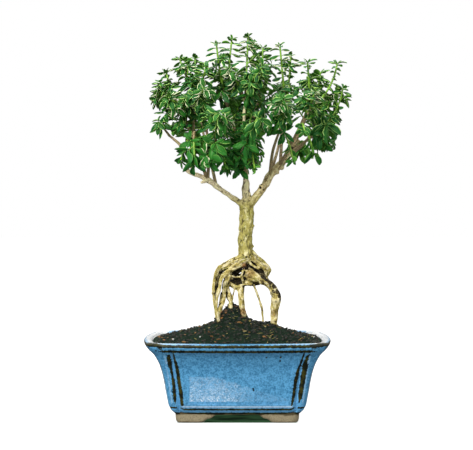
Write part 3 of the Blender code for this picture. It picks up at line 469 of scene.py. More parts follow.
def between(rows, place):
    """Read the second value of rows that are sorted by their first."""
    for (low, low_value), (high, high_value) in zip(rows, rows[1:]):
        if place <= high:
            return ramp(place, (low, high), (low_value, high_value))
    return rows[-1][1]


def scaled(colour, factor):
    return tuple(min(1.0, channel * factor) for channel in colour)


def as_mesh(name, shape):
    """Turn a bmesh into a mesh, and free it."""
    mesh = bpy.data.meshes.new(name)
    shape.to_mesh(mesh)
    shape.free()
    return mesh


def new_object(name, data):
    item = bpy.data.objects.new(name, data)
    bpy.context.scene.collection.objects.link(item)
    return item


def grid_of_points(shape, columns, rows):
    """Make a grid in the bmesh and give its points as a list of rows."""
    made = bmesh.ops.create_grid(shape, x_segments=columns, y_segments=rows, size=1.0)
    table = [[None] * (columns + 1) for _ in range(rows + 1)]
    for vert in made["verts"]:
        column = round((vert.co.x + 1.0) / 2.0 * columns)
        row = round((vert.co.y + 1.0) / 2.0 * rows)
        table[row][column] = vert
    return table


def finish_piece(name, shape, materials, nodes, smooth_angle=40.0):
    """Make the piece's object from a bmesh in millimetres, and let it stand for its nodes."""
    bmesh.ops.scale(shape, vec=(MM, MM, MM), verts=shape.verts)
    bmesh.ops.translate(shape, vec=PLACE * MM, verts=shape.verts)
    mesh = as_mesh(name, shape)
    mesh.shade_smooth()
    mesh.set_sharp_from_angle(angle=math.radians(smooth_angle))
    for material in materials:
        mesh.materials.append(material)
    item = new_object(name, mesh)
    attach(item, "root")
    if nodes:
        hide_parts(*nodes)


class Value:
    """An output of a node; sums and products of values become math nodes."""

    def __init__(self, recipe, socket):
        self.recipe = recipe
        self.socket = socket

    def __add__(self, other):
        return self.recipe.math("ADD", self, other)

    def __sub__(self, other):
        return self.recipe.math("SUBTRACT", self, other)

    def __rsub__(self, other):
        return self.recipe.math("SUBTRACT", other, self)

    def __mul__(self, other):
        return self.recipe.math("MULTIPLY", self, other)

    def __truediv__(self, other):
        return self.recipe.math("DIVIDE", self, other)

    def __pow__(self, other):
        return self.recipe.math("POWER", self, other)

    def __abs__(self):
        return self.recipe.math("ABSOLUTE", self)

    def most(self, other):
        return self.recipe.math("MAXIMUM", self, other)

    def levels(self, low, high, out_low=0.0, out_high=1.0):
        """The value taken gently from one pair of ends to another."""
        inputs = dict(enumerate((self, low, high, out_low, out_high)))
        return self.recipe.value("ShaderNodeMapRange", 0, inputs, interpolation_type="SMOOTHSTEP")


class Recipe:
    """The node tree of a new material or world, with short ways to add nodes to it."""

    def __init__(self, name, library=None):
        self.owner = (bpy.data.materials if library is None else library).new(name)
        self.owner.use_nodes = True
        self.tree = self.owner.node_tree

    def feed(self, socket, value):
        if isinstance(value, Value):
            self.tree.links.new(value.socket, socket)
        elif socket.type == "RGBA":
            socket.default_value = (*value, 1.0)
        else:
            socket.default_value = value

    def grow(self, kind, inputs, **settings):
        """Add a node with its settings, and feed its inputs."""
        made = self.tree.nodes.new(kind)
        for key, setting in settings.items():
            setattr(made, key, setting)
        for key, value in inputs.items():
            self.feed(made.inputs[key], value)
        return made

    def value(self, kind, output=0, inputs=None, **settings):
        """Add a node, and return one of its outputs."""
        return Value(self, self.grow(kind, inputs or {}, **settings).outputs[output])

    def attribute(self, name):
        return self.value("ShaderNodeAttribute", "Fac", attribute_name=name)

    def place(self):
        return self.value("ShaderNodeTexCoord", "Object")

    def axes(self, vector=None):
        """The three parts of a vector, or of the place itself."""
        made = self.grow("ShaderNodeSeparateXYZ", {0: vector or self.place()})
        return [Value(self, socket) for socket in made.outputs]

    def noise(self, scale, detail=3.0, roughness=0.5, vector=None, distortion=0.0):
        return self.value("ShaderNodeTexNoise", "Fac", {
            "Vector": vector or self.place(), "Scale": scale, "Detail": detail,
            "Roughness": roughness, "Distortion": distortion,
        })

    def math(self, operation, *values, clamp=False):
        inputs = dict(enumerate(values))
        return self.value("ShaderNodeMath", 0, inputs, operation=operation, use_clamp=clamp)

    def mix(self, factor, first, second):
        return self.value("ShaderNodeMix", 2, {0: factor, 6: first, 7: second}, data_type="RGBA")

    def bump(self, height, strength, distance, **more):
        inputs = {"Strength": strength, "Distance": distance, "Height": height, **more}
        return self.value("ShaderNodeBump", "Normal", inputs)

    def surface(self, colour, roughness, **more):
        """Feed the material's own shader, and return the material."""
        shader = self.tree.nodes["Principled BSDF"]
        for key, value in {"Base_Color": colour, "Roughness": roughness, **more}.items():
            self.feed(shader.inputs[key.replace("_", " ")], value)
        return self.owner


# Pot


def quarter_places():
    """The places along a quarter of the wall, as a kind and an amount.

    On a face the amount is the distance to its end, and past NEAR_END a share of the rest.
    """
    face = [NEAR_END + 1.0 - step / FAR_STEPS for step in range(FAR_STEPS)]
    face += [NEAR_END * (1.0 - step / NEAR_STEPS) for step in range(NEAR_STEPS + 1)]
    turns = [math.pi / 2 * step / CORNER_STEPS for step in range(1, CORNER_STEPS)]
    front = [("front", amount) for amount in face]
    side = [("side", amount) for amount in reversed(face)]
    return front + [("corner", turn) for turn in turns] + side


def face_relief(away, height):
    """How far a pot face lies back, in its groove and in its window."""
    groove = bump(away, GROOVE_MIDDLE, GROOVE_HALF) * GROOVE_DEPTH * ramp(height, GROOVE_FADE, (1.0, 0.0))
    low, high = WINDOW_HEIGHTS
    window = soft_ramp(away, (WINDOW_INSET, WINDOW_INSET + WINDOW_EDGE), (0.0, WINDOW_DEPTH))
    window *= soft_ramp(height, (low, low + WINDOW_EDGE))
    window *= soft_ramp(height, (high - WINDOW_EDGE, high), (1.0, 0.0))
    return groove + window


def wall_point(place, height, half_width, relief):
    """A point of the wall in its first quarter, and its distance from the face's end."""
    kind, amount = place
    half_depth = half_width - POT_DEPTH_LOSS
    bow = ramp(height, BOW_HEIGHTS, BOWS)
    end_x = min(ramp(height, FACE_HEIGHTS, FACE_ENDS), half_width - CORNER_MIN)
    corner = half_width - bow - end_x
    end_y = half_depth - bow - corner
    if kind == "corner":
        away = -min(amount, math.pi / 2 - amount) * corner
        return end_x + corner * math.sin(amount), end_y + corner * math.cos(amount), away
    end, front = (end_x, half_depth) if kind == "front" else (end_y, half_width)
    away = amount
    if amount > NEAR_END:
        away = NEAR_END + (amount - NEAR_END) * (end - NEAR_END)
    along = end - away
    out = front - bow * (along / end) ** 2
    if relief:
        out -= face_relief(away, height)
    return (along, out, away) if kind == "front" else (out, along, away)


def wall_ring(height, half_width, relief=False):
    """A whole section of the wall as a closed ring, its last point on its first."""
    quarter = [wall_point(place, height, half_width, relief) for place in quarter_places()]
    ring = [(x, -y, away) for x, y, away in quarter]
    ring += [(x, y, away) for x, y, away in reversed(quarter[:-1])]
    ring += [(-x, y, away) for x, y, away in quarter[1:]]
    ring += [(-x, -y, away) for x, y, away in reversed(quarter[:-1])]
    return ring


def band(value, middle, half):
    """One around the middle and nothing outside it, with a soft border at half a width away."""
    return soft_ramp(abs(value - middle), (half * 0.6, half * 1.5), (1.0, 0.0))


def strip_share(rows, away, height):
    """How much of a dark strip there is at a place."""
    middle = between([(row[0], row[1]) for row in rows], height)
    half = between([(row[0], row[2]) for row in rows], height)
    ends = soft_ramp(height, (rows[0][0] - 1.0, rows[0][0] + 0.6))
    ends *= soft_ramp(height, (rows[-1][0] - 0.6, rows[-1][0] + 1.0), (1.0, 0.0))
    return band(away, middle, half) * ends


def glaze_marks(x, away, height):
    """How thin and pooled the glaze is at a place on the outer wall, with its painted highlight (pale) and
    its painted shade (deep).
    """
    groove = bump(away, GROOVE_MIDDLE, GROOVE_HALF)
    on_corner = soft_ramp(away, (-12.0, -1.0), (1.0, 0.0))
    on_face = soft_ramp(away, (4.5, 9.0))
    on_side = abs(x) > ramp(height, FACE_HEIGHTS, FACE_ENDS) + 3.0
    top = soft_ramp(height, (84.8, 85.6))
    outer, inner = (strip_share(rows, away, height) for rows in STRIPS[1 if x > 0 else -1])
    thin = max(
        inner if on_side else max(outer, inner),
        soft_ramp(height, (10.9, 12.0), (1.0, 0.0)),
        band(height, 15.0 + 1.8 * (1.0 - on_face), 0.95) * (1.0 - groove),
        band(height, 77.7, 1.35) * (1.0 - on_corner * 0.8),
        band(height, 83.2 + 0.8 * on_corner, 1.45 + 0.4 * on_corner),
        bump(away, -9.0, 8.0) * band(height, 80.8, 1.6) * 0.62,
    )
    # On the rim's top, pool, pale and deep together make it darker in the middle and lighter towards its
    # ends: painted light.
    pool = max(
        groove * soft_ramp(height, (79.0, 81.0), (1.0, 0.0)),
        band(height, 12.9, 0.9), band(height, 81.0, 0.9) * 0.5, band(height, 75.6, 1.0) * 0.4,
        top * ramp(abs(x), (10.0, 60.0), (0.0, 0.8)),
    )
    # Pale is painted highlight: a line along the window's foot, the rim's top towards its ends, and on the
    # sides a line down each corner.
    pale = max(band(height, 18.0, 0.8) * on_face * 0.8, top * ramp(abs(x), (30.0, 85.0)))
    if on_side:
        pale = max(pale, bump(away, -1.6, 3.4) * 0.9 * soft_ramp(height, (16.0, 24.0)))
    # Deep is painted shade: along the window's foot, where the glaze also pools, in a band across the face,
    # under the rim, and on the middle of the rim's top.
    deep = max(
        band(height, 21.0, 1.1) * on_face, bump(height, 61.5, 11.0) * on_face * 0.4,
        band(height, 79.9, 0.6) * 0.9, top * ramp(abs(x), (10.0, 60.0), (0.7, 0.0)),
    )
    return thin, pool, pale, deep


def lip_marks(x, height):
    """The same marks on the inner side of the wall, where a painted highlight lies at the rim's ends."""
    return 0.0, 0.7, ramp(abs(x), (62.0, 82.0), (0.0, 1.2)) * ramp(height, (68.0, 80.0)), 0.0


def drained_face(shape, ring_edges, height):
    """Close a ring with a flat face that has the two drain holes, and return their edges."""
    holes = []
    for side in (-1, 1):
        spot = Matrix.Translation((side * DRAIN_SPACING / 2, 0.0, height))
        made = bmesh.ops.create_circle(shape, segments=32, radius=DRAIN_RADIUS, matrix=spot)
        holes.append(list({edge for vert in made["verts"] for edge in vert.link_edges}))
    bmesh.ops.triangle_fill(shape, edges=ring_edges + holes[0] + holes[1], use_beauty=True)
    return holes


def open_edges(shape, height):
    """The edges at a height that have a face on one side only."""
    return [
        edge for edge in shape.edges
        if edge.is_boundary and all(abs(vert.co.z - height) < 0.001 for vert in edge.verts)
    ]


def pot_wall(shape):
    """The glazed body, from the underside's edge over the rim and down to the floor."""
    outer = [(POT_BOTTOM, POT_ROWS[0][1])]
    height = POT_BOTTOM
    while height < POT_ROWS[-1][0] - 0.5:
        height += COARSE_STEP if COARSE_HEIGHTS[0] <= height <= COARSE_HEIGHTS[1] else FINE_STEP
        outer.append((height, between(POT_ROWS, height)))
    profile = [(*row, True) for row in outer] + [(*POT_ROWS[-1], True)]
    profile += [(*row, False) for row in LIP_ROWS + tuple(reversed(BED_ROWS[:-1]))]
    columns = len(wall_ring(POT_BOTTOM, POT_ROWS[0][1])) - 1
    layers = [shape.verts.layers.float.new(name) for name in ("thin", "pool", "pale", "deep")]
    table = grid_of_points(shape, columns, len(profile) - 1)
    for verts, (height, half_width, outside) in zip(table, profile):
        for vert, (x, y, away) in zip(verts, wall_ring(height, half_width, outside)):
            vert.co = (x, y, height)
            marks = glaze_marks(x, away, height) if outside else lip_marks(x, height)
            for layer, mark in zip(layers, marks):
                vert[layer] = mark
    bmesh.ops.remove_doubles(shape, verts=shape.verts, dist=0.001)
    low = open_edges(shape, POT_BOTTOM)
    high = open_edges(shape, POT_FLOOR)
    for first, second in zip(drained_face(shape, low, POT_BOTTOM), drained_face(shape, high, POT_FLOOR)):
        bmesh.ops.bridge_loops(shape, edges=first + second)


def arch_height(x, y, half_x, half_y):
    """The height of the feet's lower edge at a place on their ring."""
    on_front = abs(y) > half_y - 1.0
    on_side = abs(x) > half_x - 1.0
    if on_front and abs(x) < ARCH_FRONT_HALF:
        return between(ARCH_ROWS, abs(x) / ARCH_FRONT_HALF)
    if on_side and abs(y) < ARCH_SIDE_HALF:
        return between(ARCH_ROWS, abs(y) / ARCH_SIDE_HALF)
    return 0.0


def feet_ring(half_x, half_y, corner, inset):
    """A rounded rectangle as a closed ring of points with the arches' heights."""
    ring = []
    straight_x, straight_y = half_x - corner, half_y - corner
    sides = (
        ((-straight_x, -half_y), (straight_x, -half_y), 80),
        ((half_x, -straight_y), (half_x, straight_y), 56),
        ((straight_x, half_y), (-straight_x, half_y), 80),
        ((-half_x, straight_y), (-half_x, -straight_y), 56),
    )
    for turn, (start, end, steps) in enumerate(sides):
        for step in range(steps + 1):
            x = start[0] + (end[0] - start[0]) * step / steps
            y = start[1] + (end[1] - start[1]) * step / steps
            ring.append((x, y, arch_height(x, y, half_x, half_y)))
        centre_x = straight_x if turn in (0, 1) else -straight_x
        centre_y = straight_y if turn in (1, 2) else -straight_y
        for step in range(1, 8):
            angle = math.pi / 2 * (turn - 1 + step / 8)
            ring.append((centre_x + corner * math.cos(angle), centre_y + corner * math.sin(angle), 0.0))
    ring.append(ring[0])
    shrink_x, shrink_y = 1.0 - inset / half_x, 1.0 - inset / half_y
    return [(x * shrink_x, y * shrink_y, height) for x, y, height in ring]


def pot_feet(shape):
    """The ring of four bracket feet, with soft lower edges."""
    outer = (FEET_HALF_X, FEET_HALF_Y, FEET_CORNER)
    inner = (FEET_HALF_X - FEET_WALL, FEET_HALF_Y - FEET_WALL, FEET_CORNER - 4.0)
    profile = (
        (outer, -0.9, None), (outer, -0.7, 5.0), (outer, -0.4, 2.8), (outer, 0.0, 1.3), (outer, 0.8, 0.35),
        (outer, 1.9, 0.0), (inner, -1.0, 0.0), (inner, 0.0, 1.0), (inner, 0.0, None), (outer, -0.9, None),
    )
    columns = len(feet_ring(*outer, 0.0)) - 1
    table = grid_of_points(shape, columns, len(profile) - 1)
    for verts, (plan, inset, rise) in zip(table, profile):
        for vert, (x, y, arch) in zip(verts, feet_ring(*plan, inset)):
            vert.co = (x, y, FEET_TOP if rise is None else min(arch + rise, FEET_TOP - 0.5))


class BONSAI_OT_pot(bpy.types.Operator):
    """Make the glazed pot with its rim, panels, grooves and clay feet."""

    bl_idname = "bonsai.pot"
    bl_label = "Pot"

    def execute(self, context):
        settings = context.scene.bonsai_pot
        shape = bmesh.new()
        pot_wall(shape)
        body = set(shape.faces)
        pot_feet(shape)
        feet = [vert for vert in shape.verts if vert.link_faces[0] not in body]
        bmesh.ops.remove_doubles(shape, verts=feet, dist=0.001)
        bmesh.ops.recalc_face_normals(shape, faces=shape.faces)
        for face in shape.faces:
            bare = face not in body or all(vert.co.z < POT_BOTTOM + 0.01 for vert in face.verts)
            face.material_index = 1 if bare else 0
        materials = [glaze_material(settings), clay_material(settings)]
        finish_piece("glazed_pot", shape, materials, ["pot"])
        return {"FINISHED"}


def face_places(recipe):
    """The places across and up the front face in millimetres, and one on the front half only."""
    x, y, z = recipe.axes()
    depth = y / MM - PLACE.y
    return x / MM - PLACE.x, z / MM, depth.levels(-30.0, -29.0, 1.0, 0.0)


def reflection_share(across, up, wander):
    """Where the painted reflection, the pale patch of the front face, lies."""
    left, right = REFLECTION_ENDS
    top = REFLECTION_HIGH - (across - REFLECTION_BEND).most(0.0) * REFLECTION_SLOPE + wander
    share = (top - up).levels(-0.6, 1.4) * up.levels(REFLECTION_LOW - 0.6, REFLECTION_LOW + 0.4)
    share = share * across.levels(left - 0.4, left + 0.6)
    return share * across.levels(left + 34.0, right, 1.0, 0.15)


def glaze_material(settings):
    """Blue glaze: flecked, paler where it pooled, and olive black where it ran off an edge, with painted
    highlights, a painted reflection and painted shade.
    """
    recipe = Recipe("blue_glaze")
    across, up, front = face_places(recipe)
    fleck = recipe.noise(620.0, 3.0, 0.65)
    mottle = recipe.noise(210.0, 4.0, 0.65)
    cloud = recipe.noise(34.0)
    tone = fleck * 0.6 + mottle * 0.4
    colour = recipe.mix(tone.levels(0.39, 0.60), settings.glaze_dark, settings.glaze_mid)
    # The deep mark darkens the glaze: painted shade, with pooled glaze along the window's foot.
    deep = recipe.attribute("deep") * tone.levels(0.40, 0.60, 0.95, 0.35)
    colour = recipe.mix(deep, colour, settings.glaze_dark)
    # The glaze turns paler towards the bottom of the wall, and in cloudy patches.
    paler_low = (up - cloud * 30.0).levels(-2.0, 24.0, 0.6, 0.0)
    haze = recipe.math("ADD", paler_low, cloud.levels(0.50, 0.75, 0.0, 0.4), clamp=True)
    haze = haze * tone.levels(0.36, 0.58, 0.1, 0.8)
    colour = recipe.mix(haze, colour, settings.glaze_pool)
    pool = recipe.attribute("pool") * tone.levels(0.38, 0.56, 0.30, 1.0)
    colour = recipe.mix(pool, colour, settings.glaze_pool)
    # The patch is a painted reflection on the front face. With the pale mark's painted highlights it turns
    # the glaze from pale blue to white.
    streaks = recipe.noise(480.0, 2.0, distortion=1.6)
    wander = (recipe.noise(150.0, 2.0) - 0.5) * 7.0
    patch = reflection_share(across, up, wander) * front * streaks.levels(0.42, 0.66, 0.12, 0.90)
    patch = patch * up.levels(REFLECTION_LOW, REFLECTION_HIGH, 1.0, 0.45)
    pale = patch.most(recipe.attribute("pale") * tone.levels(0.35, 0.55, 0.5, 1.0))
    white = recipe.mix(pale.levels(0.70, 0.95), (0.560, 0.760, 0.930), (0.980, 0.985, 0.970))
    colour = recipe.mix(pale, colour, white)
    ragged = recipe.attribute("thin") + tone.levels(0.34, 0.66, 0.40, -0.40)
    for x, height, radius in FLAWS:
        offset = (across - x) ** 2.0 + (up - height) ** 2.0
        ragged = ragged.most(offset.levels(0.3 * radius, 2.0 * radius, 0.9, 0.0) * front)
    thin = ragged.levels(0.38, 0.60)
    olive = recipe.mix(mottle.levels(0.44, 0.60), settings.glaze_thin, (0.050, 0.048, 0.007))
    colour = recipe.mix(thin, colour, olive)
    skin = recipe.bump(fleck, 0.06, 0.0005, Normal=recipe.bump(mottle, 0.10, 0.0006))
    return recipe.surface(colour, thin * 0.25 + settings.gloss, Normal=skin, Specular_IOR_Level=0.22)


def clay_material(settings):
    """Bare, fired clay with dark specks, darker along its lower edge and with painted shade along its top
    edge under the pot.
    """
    recipe = Recipe("bare_clay")
    up = face_places(recipe)[1]
    grain = recipe.noise(900.0, 4.0, 0.7)
    stain = recipe.noise(70.0, 3.0, 0.6)
    darker = scaled(settings.clay, 0.55)
    colour = recipe.mix(grain.levels(0.3, 0.6), darker, settings.clay)
    colour = recipe.mix(stain.levels(0.45, 0.75, 0.0, 0.4), colour, darker)
    # Darker along the feet's lower edge, and painted shade along their top edge below the pot's body.
    wander = up + stain.levels(0.3, 0.7, -1.0, 1.0)
    edge = wander.levels(0.3, 1.6, 0.8, 0.0).most(wander.levels(7.6, 9.4, 0.0, 0.85))
    colour = recipe.mix(edge, colour, (0.050, 0.034, 0.012))
    return recipe.surface(colour, 0.85, Normal=recipe.bump(grain, 0.25, 0.0005), Specular_IOR_Level=0.15)


# Soil


def soil_height(x, y):
    """The height of the soil's surface at a place, before its crumbs."""
    away = math.hypot(x / SOIL_REACH_X, y / SOIL_REACH_Y)
    height = SOIL_EDGE + SOIL_RISE * max(1.0 - away ** SOIL_SLOPE, 0.0)
    for heap_x, heap_y, rise, spread in SOIL_HEAPS:
        height += rise * math.exp(-((x - heap_x) ** 2 + (y - heap_y) ** 2) / (2 * spread ** 2))
    return height


def rough_soil(x, y):
    """How far the clods lift the soil at a place."""
    clods = noise.noise(Vector((x, y, 3.0)) / 3.4) * 1.2
    clods += noise.noise(Vector((x, y, 9.0)) / 1.9) * 0.9
    return clods + abs(noise.noise(Vector((x, y, 5.0)) / 6.5)) * 0.8 - 0.2


def soil_body(shape):
    """The filling of the pot: its underside, its side and its cloddy surface."""
    rows = [(SOIL_BOTTOM, BED_ROWS[0][1] - SOIL_GAP, 0.0)]
    rows += [(max(height, SOIL_BOTTOM), half_width - SOIL_GAP, 1.0) for height, half_width in BED_ROWS]
    shares = [1.0 - step / SOIL_STEPS for step in range(1, SOIL_STEPS + 1)]
    rows += [(None, BED_ROWS[-1][1] - SOIL_GAP, share) for share in shares]
    columns = len(wall_ring(SOIL_EDGE, BED_ROWS[-1][1])) - 1
    table = grid_of_points(shape, columns, len(rows) - 1)
    for verts, (height, half_width, share) in zip(table, rows):
        ring = wall_ring(SOIL_EDGE if height is None else height, half_width)
        for vert, (x, y, _) in zip(verts, ring):
            x, y = x * share, y * share
            lift = min(1.0, (1.0 - share) * 12.0) * rough_soil(x, y)
            vert.co = (x, y, soil_height(x, y) + lift if height is None else height)
    bmesh.ops.remove_doubles(shape, verts=shape.verts, dist=0.001)


class BONSAI_OT_soil(bpy.types.Operator):
    """Make the soil that fills the pot."""

    bl_idname = "bonsai.soil"
    bl_label = "Soil"

    def execute(self, context):
        shape = bmesh.new()
        soil_body(shape)
        bmesh.ops.recalc_face_normals(shape, faces=shape.faces)
        material = soil_material(context.scene.bonsai_soil)
        finish_piece("potting_soil", shape, [material], ["soil"], 80.0)
        return {"FINISHED"}


def soil_material(settings):
    """Damp, dark soil with greenish and brownish patches."""
    recipe = Recipe("damp_soil")
    grain = recipe.noise(1300.0, 3.0, 0.7)
    patch = recipe.noise(120.0, 3.0, 0.6)
    colour = recipe.mix(patch.levels(0.35, 0.65), (0.014, 0.030, 0.017), settings.colour)
    colour = recipe.mix(grain.levels(0.56, 0.75, 0.0, 0.8), colour, (0.034, 0.030, 0.014))
    return recipe.surface(colour, 0.9, Normal=recipe.bump(grain, 0.8, 0.0010), Specular_IOR_Level=0.08)


# How far the crumbs reach along X and Y, and the share of them that lies around the roots
CRUMB_REACH = (86.0, 63.0)
CRUMBS_NEAR_ROOTS = 0.22
# One row per kind of crumb: share of all, smallest and largest size, flatness, length, tone
CRUMB_KINDS = (
    (0.62, 0.7, 1.5, 0.9, 1.1, 0.05), (0.17, 0.7, 1.6, 0.8, 1.2, 0.25), (0.08, 0.5, 1.2, 0.6, 1.5, 0.45),
    (0.04, 0.9, 1.9, 0.4, 1.8, 0.62), (0.035, 0.5, 1.2, 0.6, 1.3, 0.78), (0.003, 0.6, 1.3, 0.9, 1.1, 0.95),
    (0.04, 0.28, 0.4, 1, 11, 0.7),
)
# Larger chips and pebbles that lie on the soil: x, y, size, length and tone
CHIPS = (
    (82, 0, 1.5, 1.2, 0.95), (66, 28, 1.7, 1.4, 0.62), (59, -10, 1.5, 1.6, 0.62), (65, -38, 1.4, 2, 0.62),
    (41, -45, 1.2, 1.5, 0.78), (8, -36, 1.2, 2.6, 0.78), (12.5, -37, 1.1, 2.2, 0.62),
    (19, -29, 1.1, 1.3, 0.7), (62, 50, 1.3, 1.6, 0.7), (-69, 46, 1.8, 1.5, 0.62), (-79, 36, 1.3, 1.9, 0.7),
    (-68, -32, 1.3, 1.4, 0.78), (-16, -12, 1.5, 2.6, 0.62), (-9, -27, 1.4, 2.2, 0.78),
    (-21, -26, 1.5, 1.3, 0.45), (24, -26, 1.3, 1.6, 0.45), (-40, -20, 1.4, 1.4, 0.45),
    (-52, 4, 1.7, 1.4, 0.45), (-12, -8.5, 2.4, 1.3, 0.45), (-15, -11, 1.8, 1.4, 0.45),
    (-9, -13, 1.6, 1.5, 0.45), (5, -12.5, 2.2, 1.3, 0.45), (8.5, -14.5, 1.7, 1.4, 0.45),
    (-1.5, -6.5, 1.8, 1.4, 0.45),
)
# The colour of a crumb from each tone on
CRUMB_COLOURS = (
    (0.0, (0.014, 0.020, 0.013)), (0.17, (0.030, 0.022, 0.013)), (0.36, (0.105, 0.050, 0.022)),
    (0.54, (0.420, 0.190, 0.050)), (0.67, (0.300, 0.270, 0.070)), (0.74, (0.500, 0.400, 0.150)),
    (0.88, (0.800, 0.800, 0.740)),
)


def crumb_template():
    shape = bmesh.new()
    bmesh.ops.create_icosphere(shape, subdivisions=1, radius=1.0)
    shape.verts.layers.float.new("tone")
    return as_mesh("crumb", shape)


def absorb(shape, piece):
    """Move all of a small bmesh into a larger one."""
    copy = as_mesh("copy", piece)
    shape.from_mesh(copy)
    bpy.data.meshes.remove(copy)


def stamp(shape, template, matrix, values, jitter=None):
    """Add a copy of a template mesh to the bmesh, with its own attribute values."""
    piece = bmesh.new()
    piece.from_mesh(template)
    if jitter:
        for vert in piece.verts:
            vert.co *= jitter.uniform(0.75, 1.25)
    for name, value in values.items():
        layer = piece.verts.layers.float[name]
        for vert in piece.verts:
            vert[layer] = value
    piece.transform(matrix)
    absorb(shape, piece)


def scatter_crumbs(shape, count, randomness):
    template = crumb_template()
    reach_x, reach_y = CRUMB_REACH
    shares = [kind[0] for kind in CRUMB_KINDS]
    for _ in range(count):
        near_roots = randomness.random() < CRUMBS_NEAR_ROOTS
        while True:
            if near_roots:
                x, y = randomness.gauss(0.0, 17.0), randomness.gauss(-4.0, 12.0)
            else:
                x, y = randomness.uniform(-reach_x, reach_x), randomness.uniform(-reach_y, reach_y)
            if (abs(x) / reach_x) ** 5 + (abs(y) / (reach_y + 0.5)) ** 5 < 1.0:
                break
        _, low, high, flatness, stretch, tone = randomness.choices(CRUMB_KINDS, shares)[0]
        size = randomness.uniform(low, high)
        add_crumb(shape, template, (x, y), (size * stretch, size, size * flatness), tone, randomness)
    for x, y, size, stretch, tone in CHIPS:
        add_crumb(shape, template, (x, y), (size * stretch, size, size * 0.5), tone, randomness)


def add_crumb(shape, template, spot, sizes, tone, randomness):
    turn = Matrix.Rotation(randomness.uniform(0.0, math.tau), 4, "Z")
    tip = Matrix.Rotation(randomness.gauss(0.0, 0.35), 4, "Y")
    height = soil_height(*spot) + rough_soil(*spot) + sizes[2] * 0.4
    matrix = Matrix.Translation((*spot, height)) @ turn @ tip @ Matrix.Diagonal((*sizes, 1.0))
    stamp(shape, template, matrix, {"tone": tone + randomness.uniform(-0.02, 0.02)}, randomness)


class BONSAI_OT_crumbs(bpy.types.Operator):
    """Scatter crumbs, bark chips, grit and fibres on the soil."""

    bl_idname = "bonsai.crumbs"
    bl_label = "Crumbs on the soil"

    def execute(self, context):
        settings = context.scene.bonsai_soil
        shape = bmesh.new()
        scatter_crumbs(shape, settings.crumbs, random.Random(settings.seed))
        finish_piece("soil_crumbs", shape, [crumb_material()], [], 30.0)
        return {"FINISHED"}


def crumb_material():
    """Crumbs from near black through brown and ochre to white, by their tone."""
    recipe = Recipe("soil_crumbs")
    grain = recipe.noise(1500.0, 2.0, 0.6)
    tones = recipe.grow("ShaderNodeValToRGB", {"Fac": recipe.attribute("tone")})
    elements = tones.color_ramp.elements
    tones.color_ramp.interpolation = "CONSTANT"
    while len(elements) < len(CRUMB_COLOURS):
        elements.new(0.5)
    for element, (place, colour) in zip(elements, CRUMB_COLOURS):
        element.position = place
        element.color = (*colour, 1.0)
    shade = grain.levels(0.35, 0.7, 0.45, 0.0)
    colour = recipe.mix(shade, Value(recipe, tones.outputs["Color"]), (0.01, 0.01, 0.008))
    return recipe.surface(colour, 0.8, Normal=recipe.bump(grain, 0.4, 0.0005))


# Wood


def smooth_path(rows, step=1.5):
    """A smooth line through rows of x, y, z and radius, as points and radii about a step apart."""
    rows = [Vector(row) for row in rows]
    points, radii = [], []
    padded = [rows[0] * 2 - rows[1]] + rows + [rows[-1] * 2 - rows[-2]]
    for before, start, end, after in zip(padded, padded[1:], padded[2:], padded[3:]):
        count = max(2, round((end - start).xyz.length / step))
        for index in range(count):
            t = index / count
            value = 0.5 * (
                start * 2 + (end - before) * t + (before * 2 - start * 5 + end * 4 - after) * t ** 2
                + (start * 3 - before - end * 3 + after) * t ** 3
            )
            points.append(value.xyz)
            radii.append(value.w)
    return points + [rows[-1].xyz], radii + [rows[-1].w]


def frames_along(points):
    """A turned frame at each point of a line, its Z along the line, without needless twist."""
    frames = []
    side = None
    for index, point in enumerate(points):
        ahead = points[min(index + 1, len(points) - 1)] - points[max(index - 1, 0)]
        ahead.normalize()
        if side is None:
            side = ahead.orthogonal()
        side = (side - ahead * side.dot(ahead)).normalized()
        turn = Matrix((side, ahead.cross(side), ahead)).transposed()
        frames.append(Matrix.Translation(point) @ turn.to_4x4())
    return frames


def add_tube(shape, points, radii, sides, material=0):
    """Draw a ring along a line, by extruding its edge from frame to frame, and close both ends."""
    frames = [
        turned @ Matrix.Diagonal((radius, radius, radius, 1.0))
        for turned, radius in zip(frames_along(points), radii)
    ]
    made = bmesh.ops.create_circle(shape, cap_ends=True, segments=sides, radius=1.0, matrix=frames[0])
    edges = list({edge for vert in made["verts"] for edge in vert.link_edges})
    faces = list(made["verts"][0].link_faces)
    for before, after in zip(frames, frames[1:]):
        grown = bmesh.ops.extrude_edge_only(shape, edges=edges)["geom"]
        verts = {part for part in grown if isinstance(part, bmesh.types.BMVert)}
        edges = [part for part in grown if isinstance(part, bmesh.types.BMEdge)]
        edges = [edge for edge in edges if verts.issuperset(edge.verts)]
        faces += [part for part in grown if isinstance(part, bmesh.types.BMFace)]
        bmesh.ops.transform(shape, matrix=after @ before.inverted(), verts=list(verts))
    faces += bmesh.ops.edgeloop_fill(shape, edges=edges)["faces"]
    bmesh.ops.recalc_face_normals(shape, faces=faces)
    for face in faces:
        face.material_index = material


# How often the fused wood is smoothed
SMOOTHINGS = 4


def fused(shape, voxel):
    """The bodies in a bmesh grown together by a voxel remesh, and smoothed."""
    bmesh.ops.recalc_face_normals(shape, faces=shape.faces)
    item = new_object("wood", as_mesh("wood", shape))
    remesh = item.modifiers.new("grow_together", "REMESH")
    remesh.mode = "VOXEL"
    remesh.voxel_size = voxel
    bpy.context.view_layer.update()
    evaluated = item.evaluated_get(bpy.context.evaluated_depsgraph_get())
    shape = bmesh.new()
    shape.from_mesh(evaluated.to_mesh())
    evaluated.to_mesh_clear()
    bpy.data.objects.remove(item)
    for _ in range(SMOOTHINGS):
        bmesh.ops.smooth_vert(
            shape, verts=shape.verts, factor=0.5, use_axis_x=True, use_axis_y=True, use_axis_z=True,
        )
    return shape


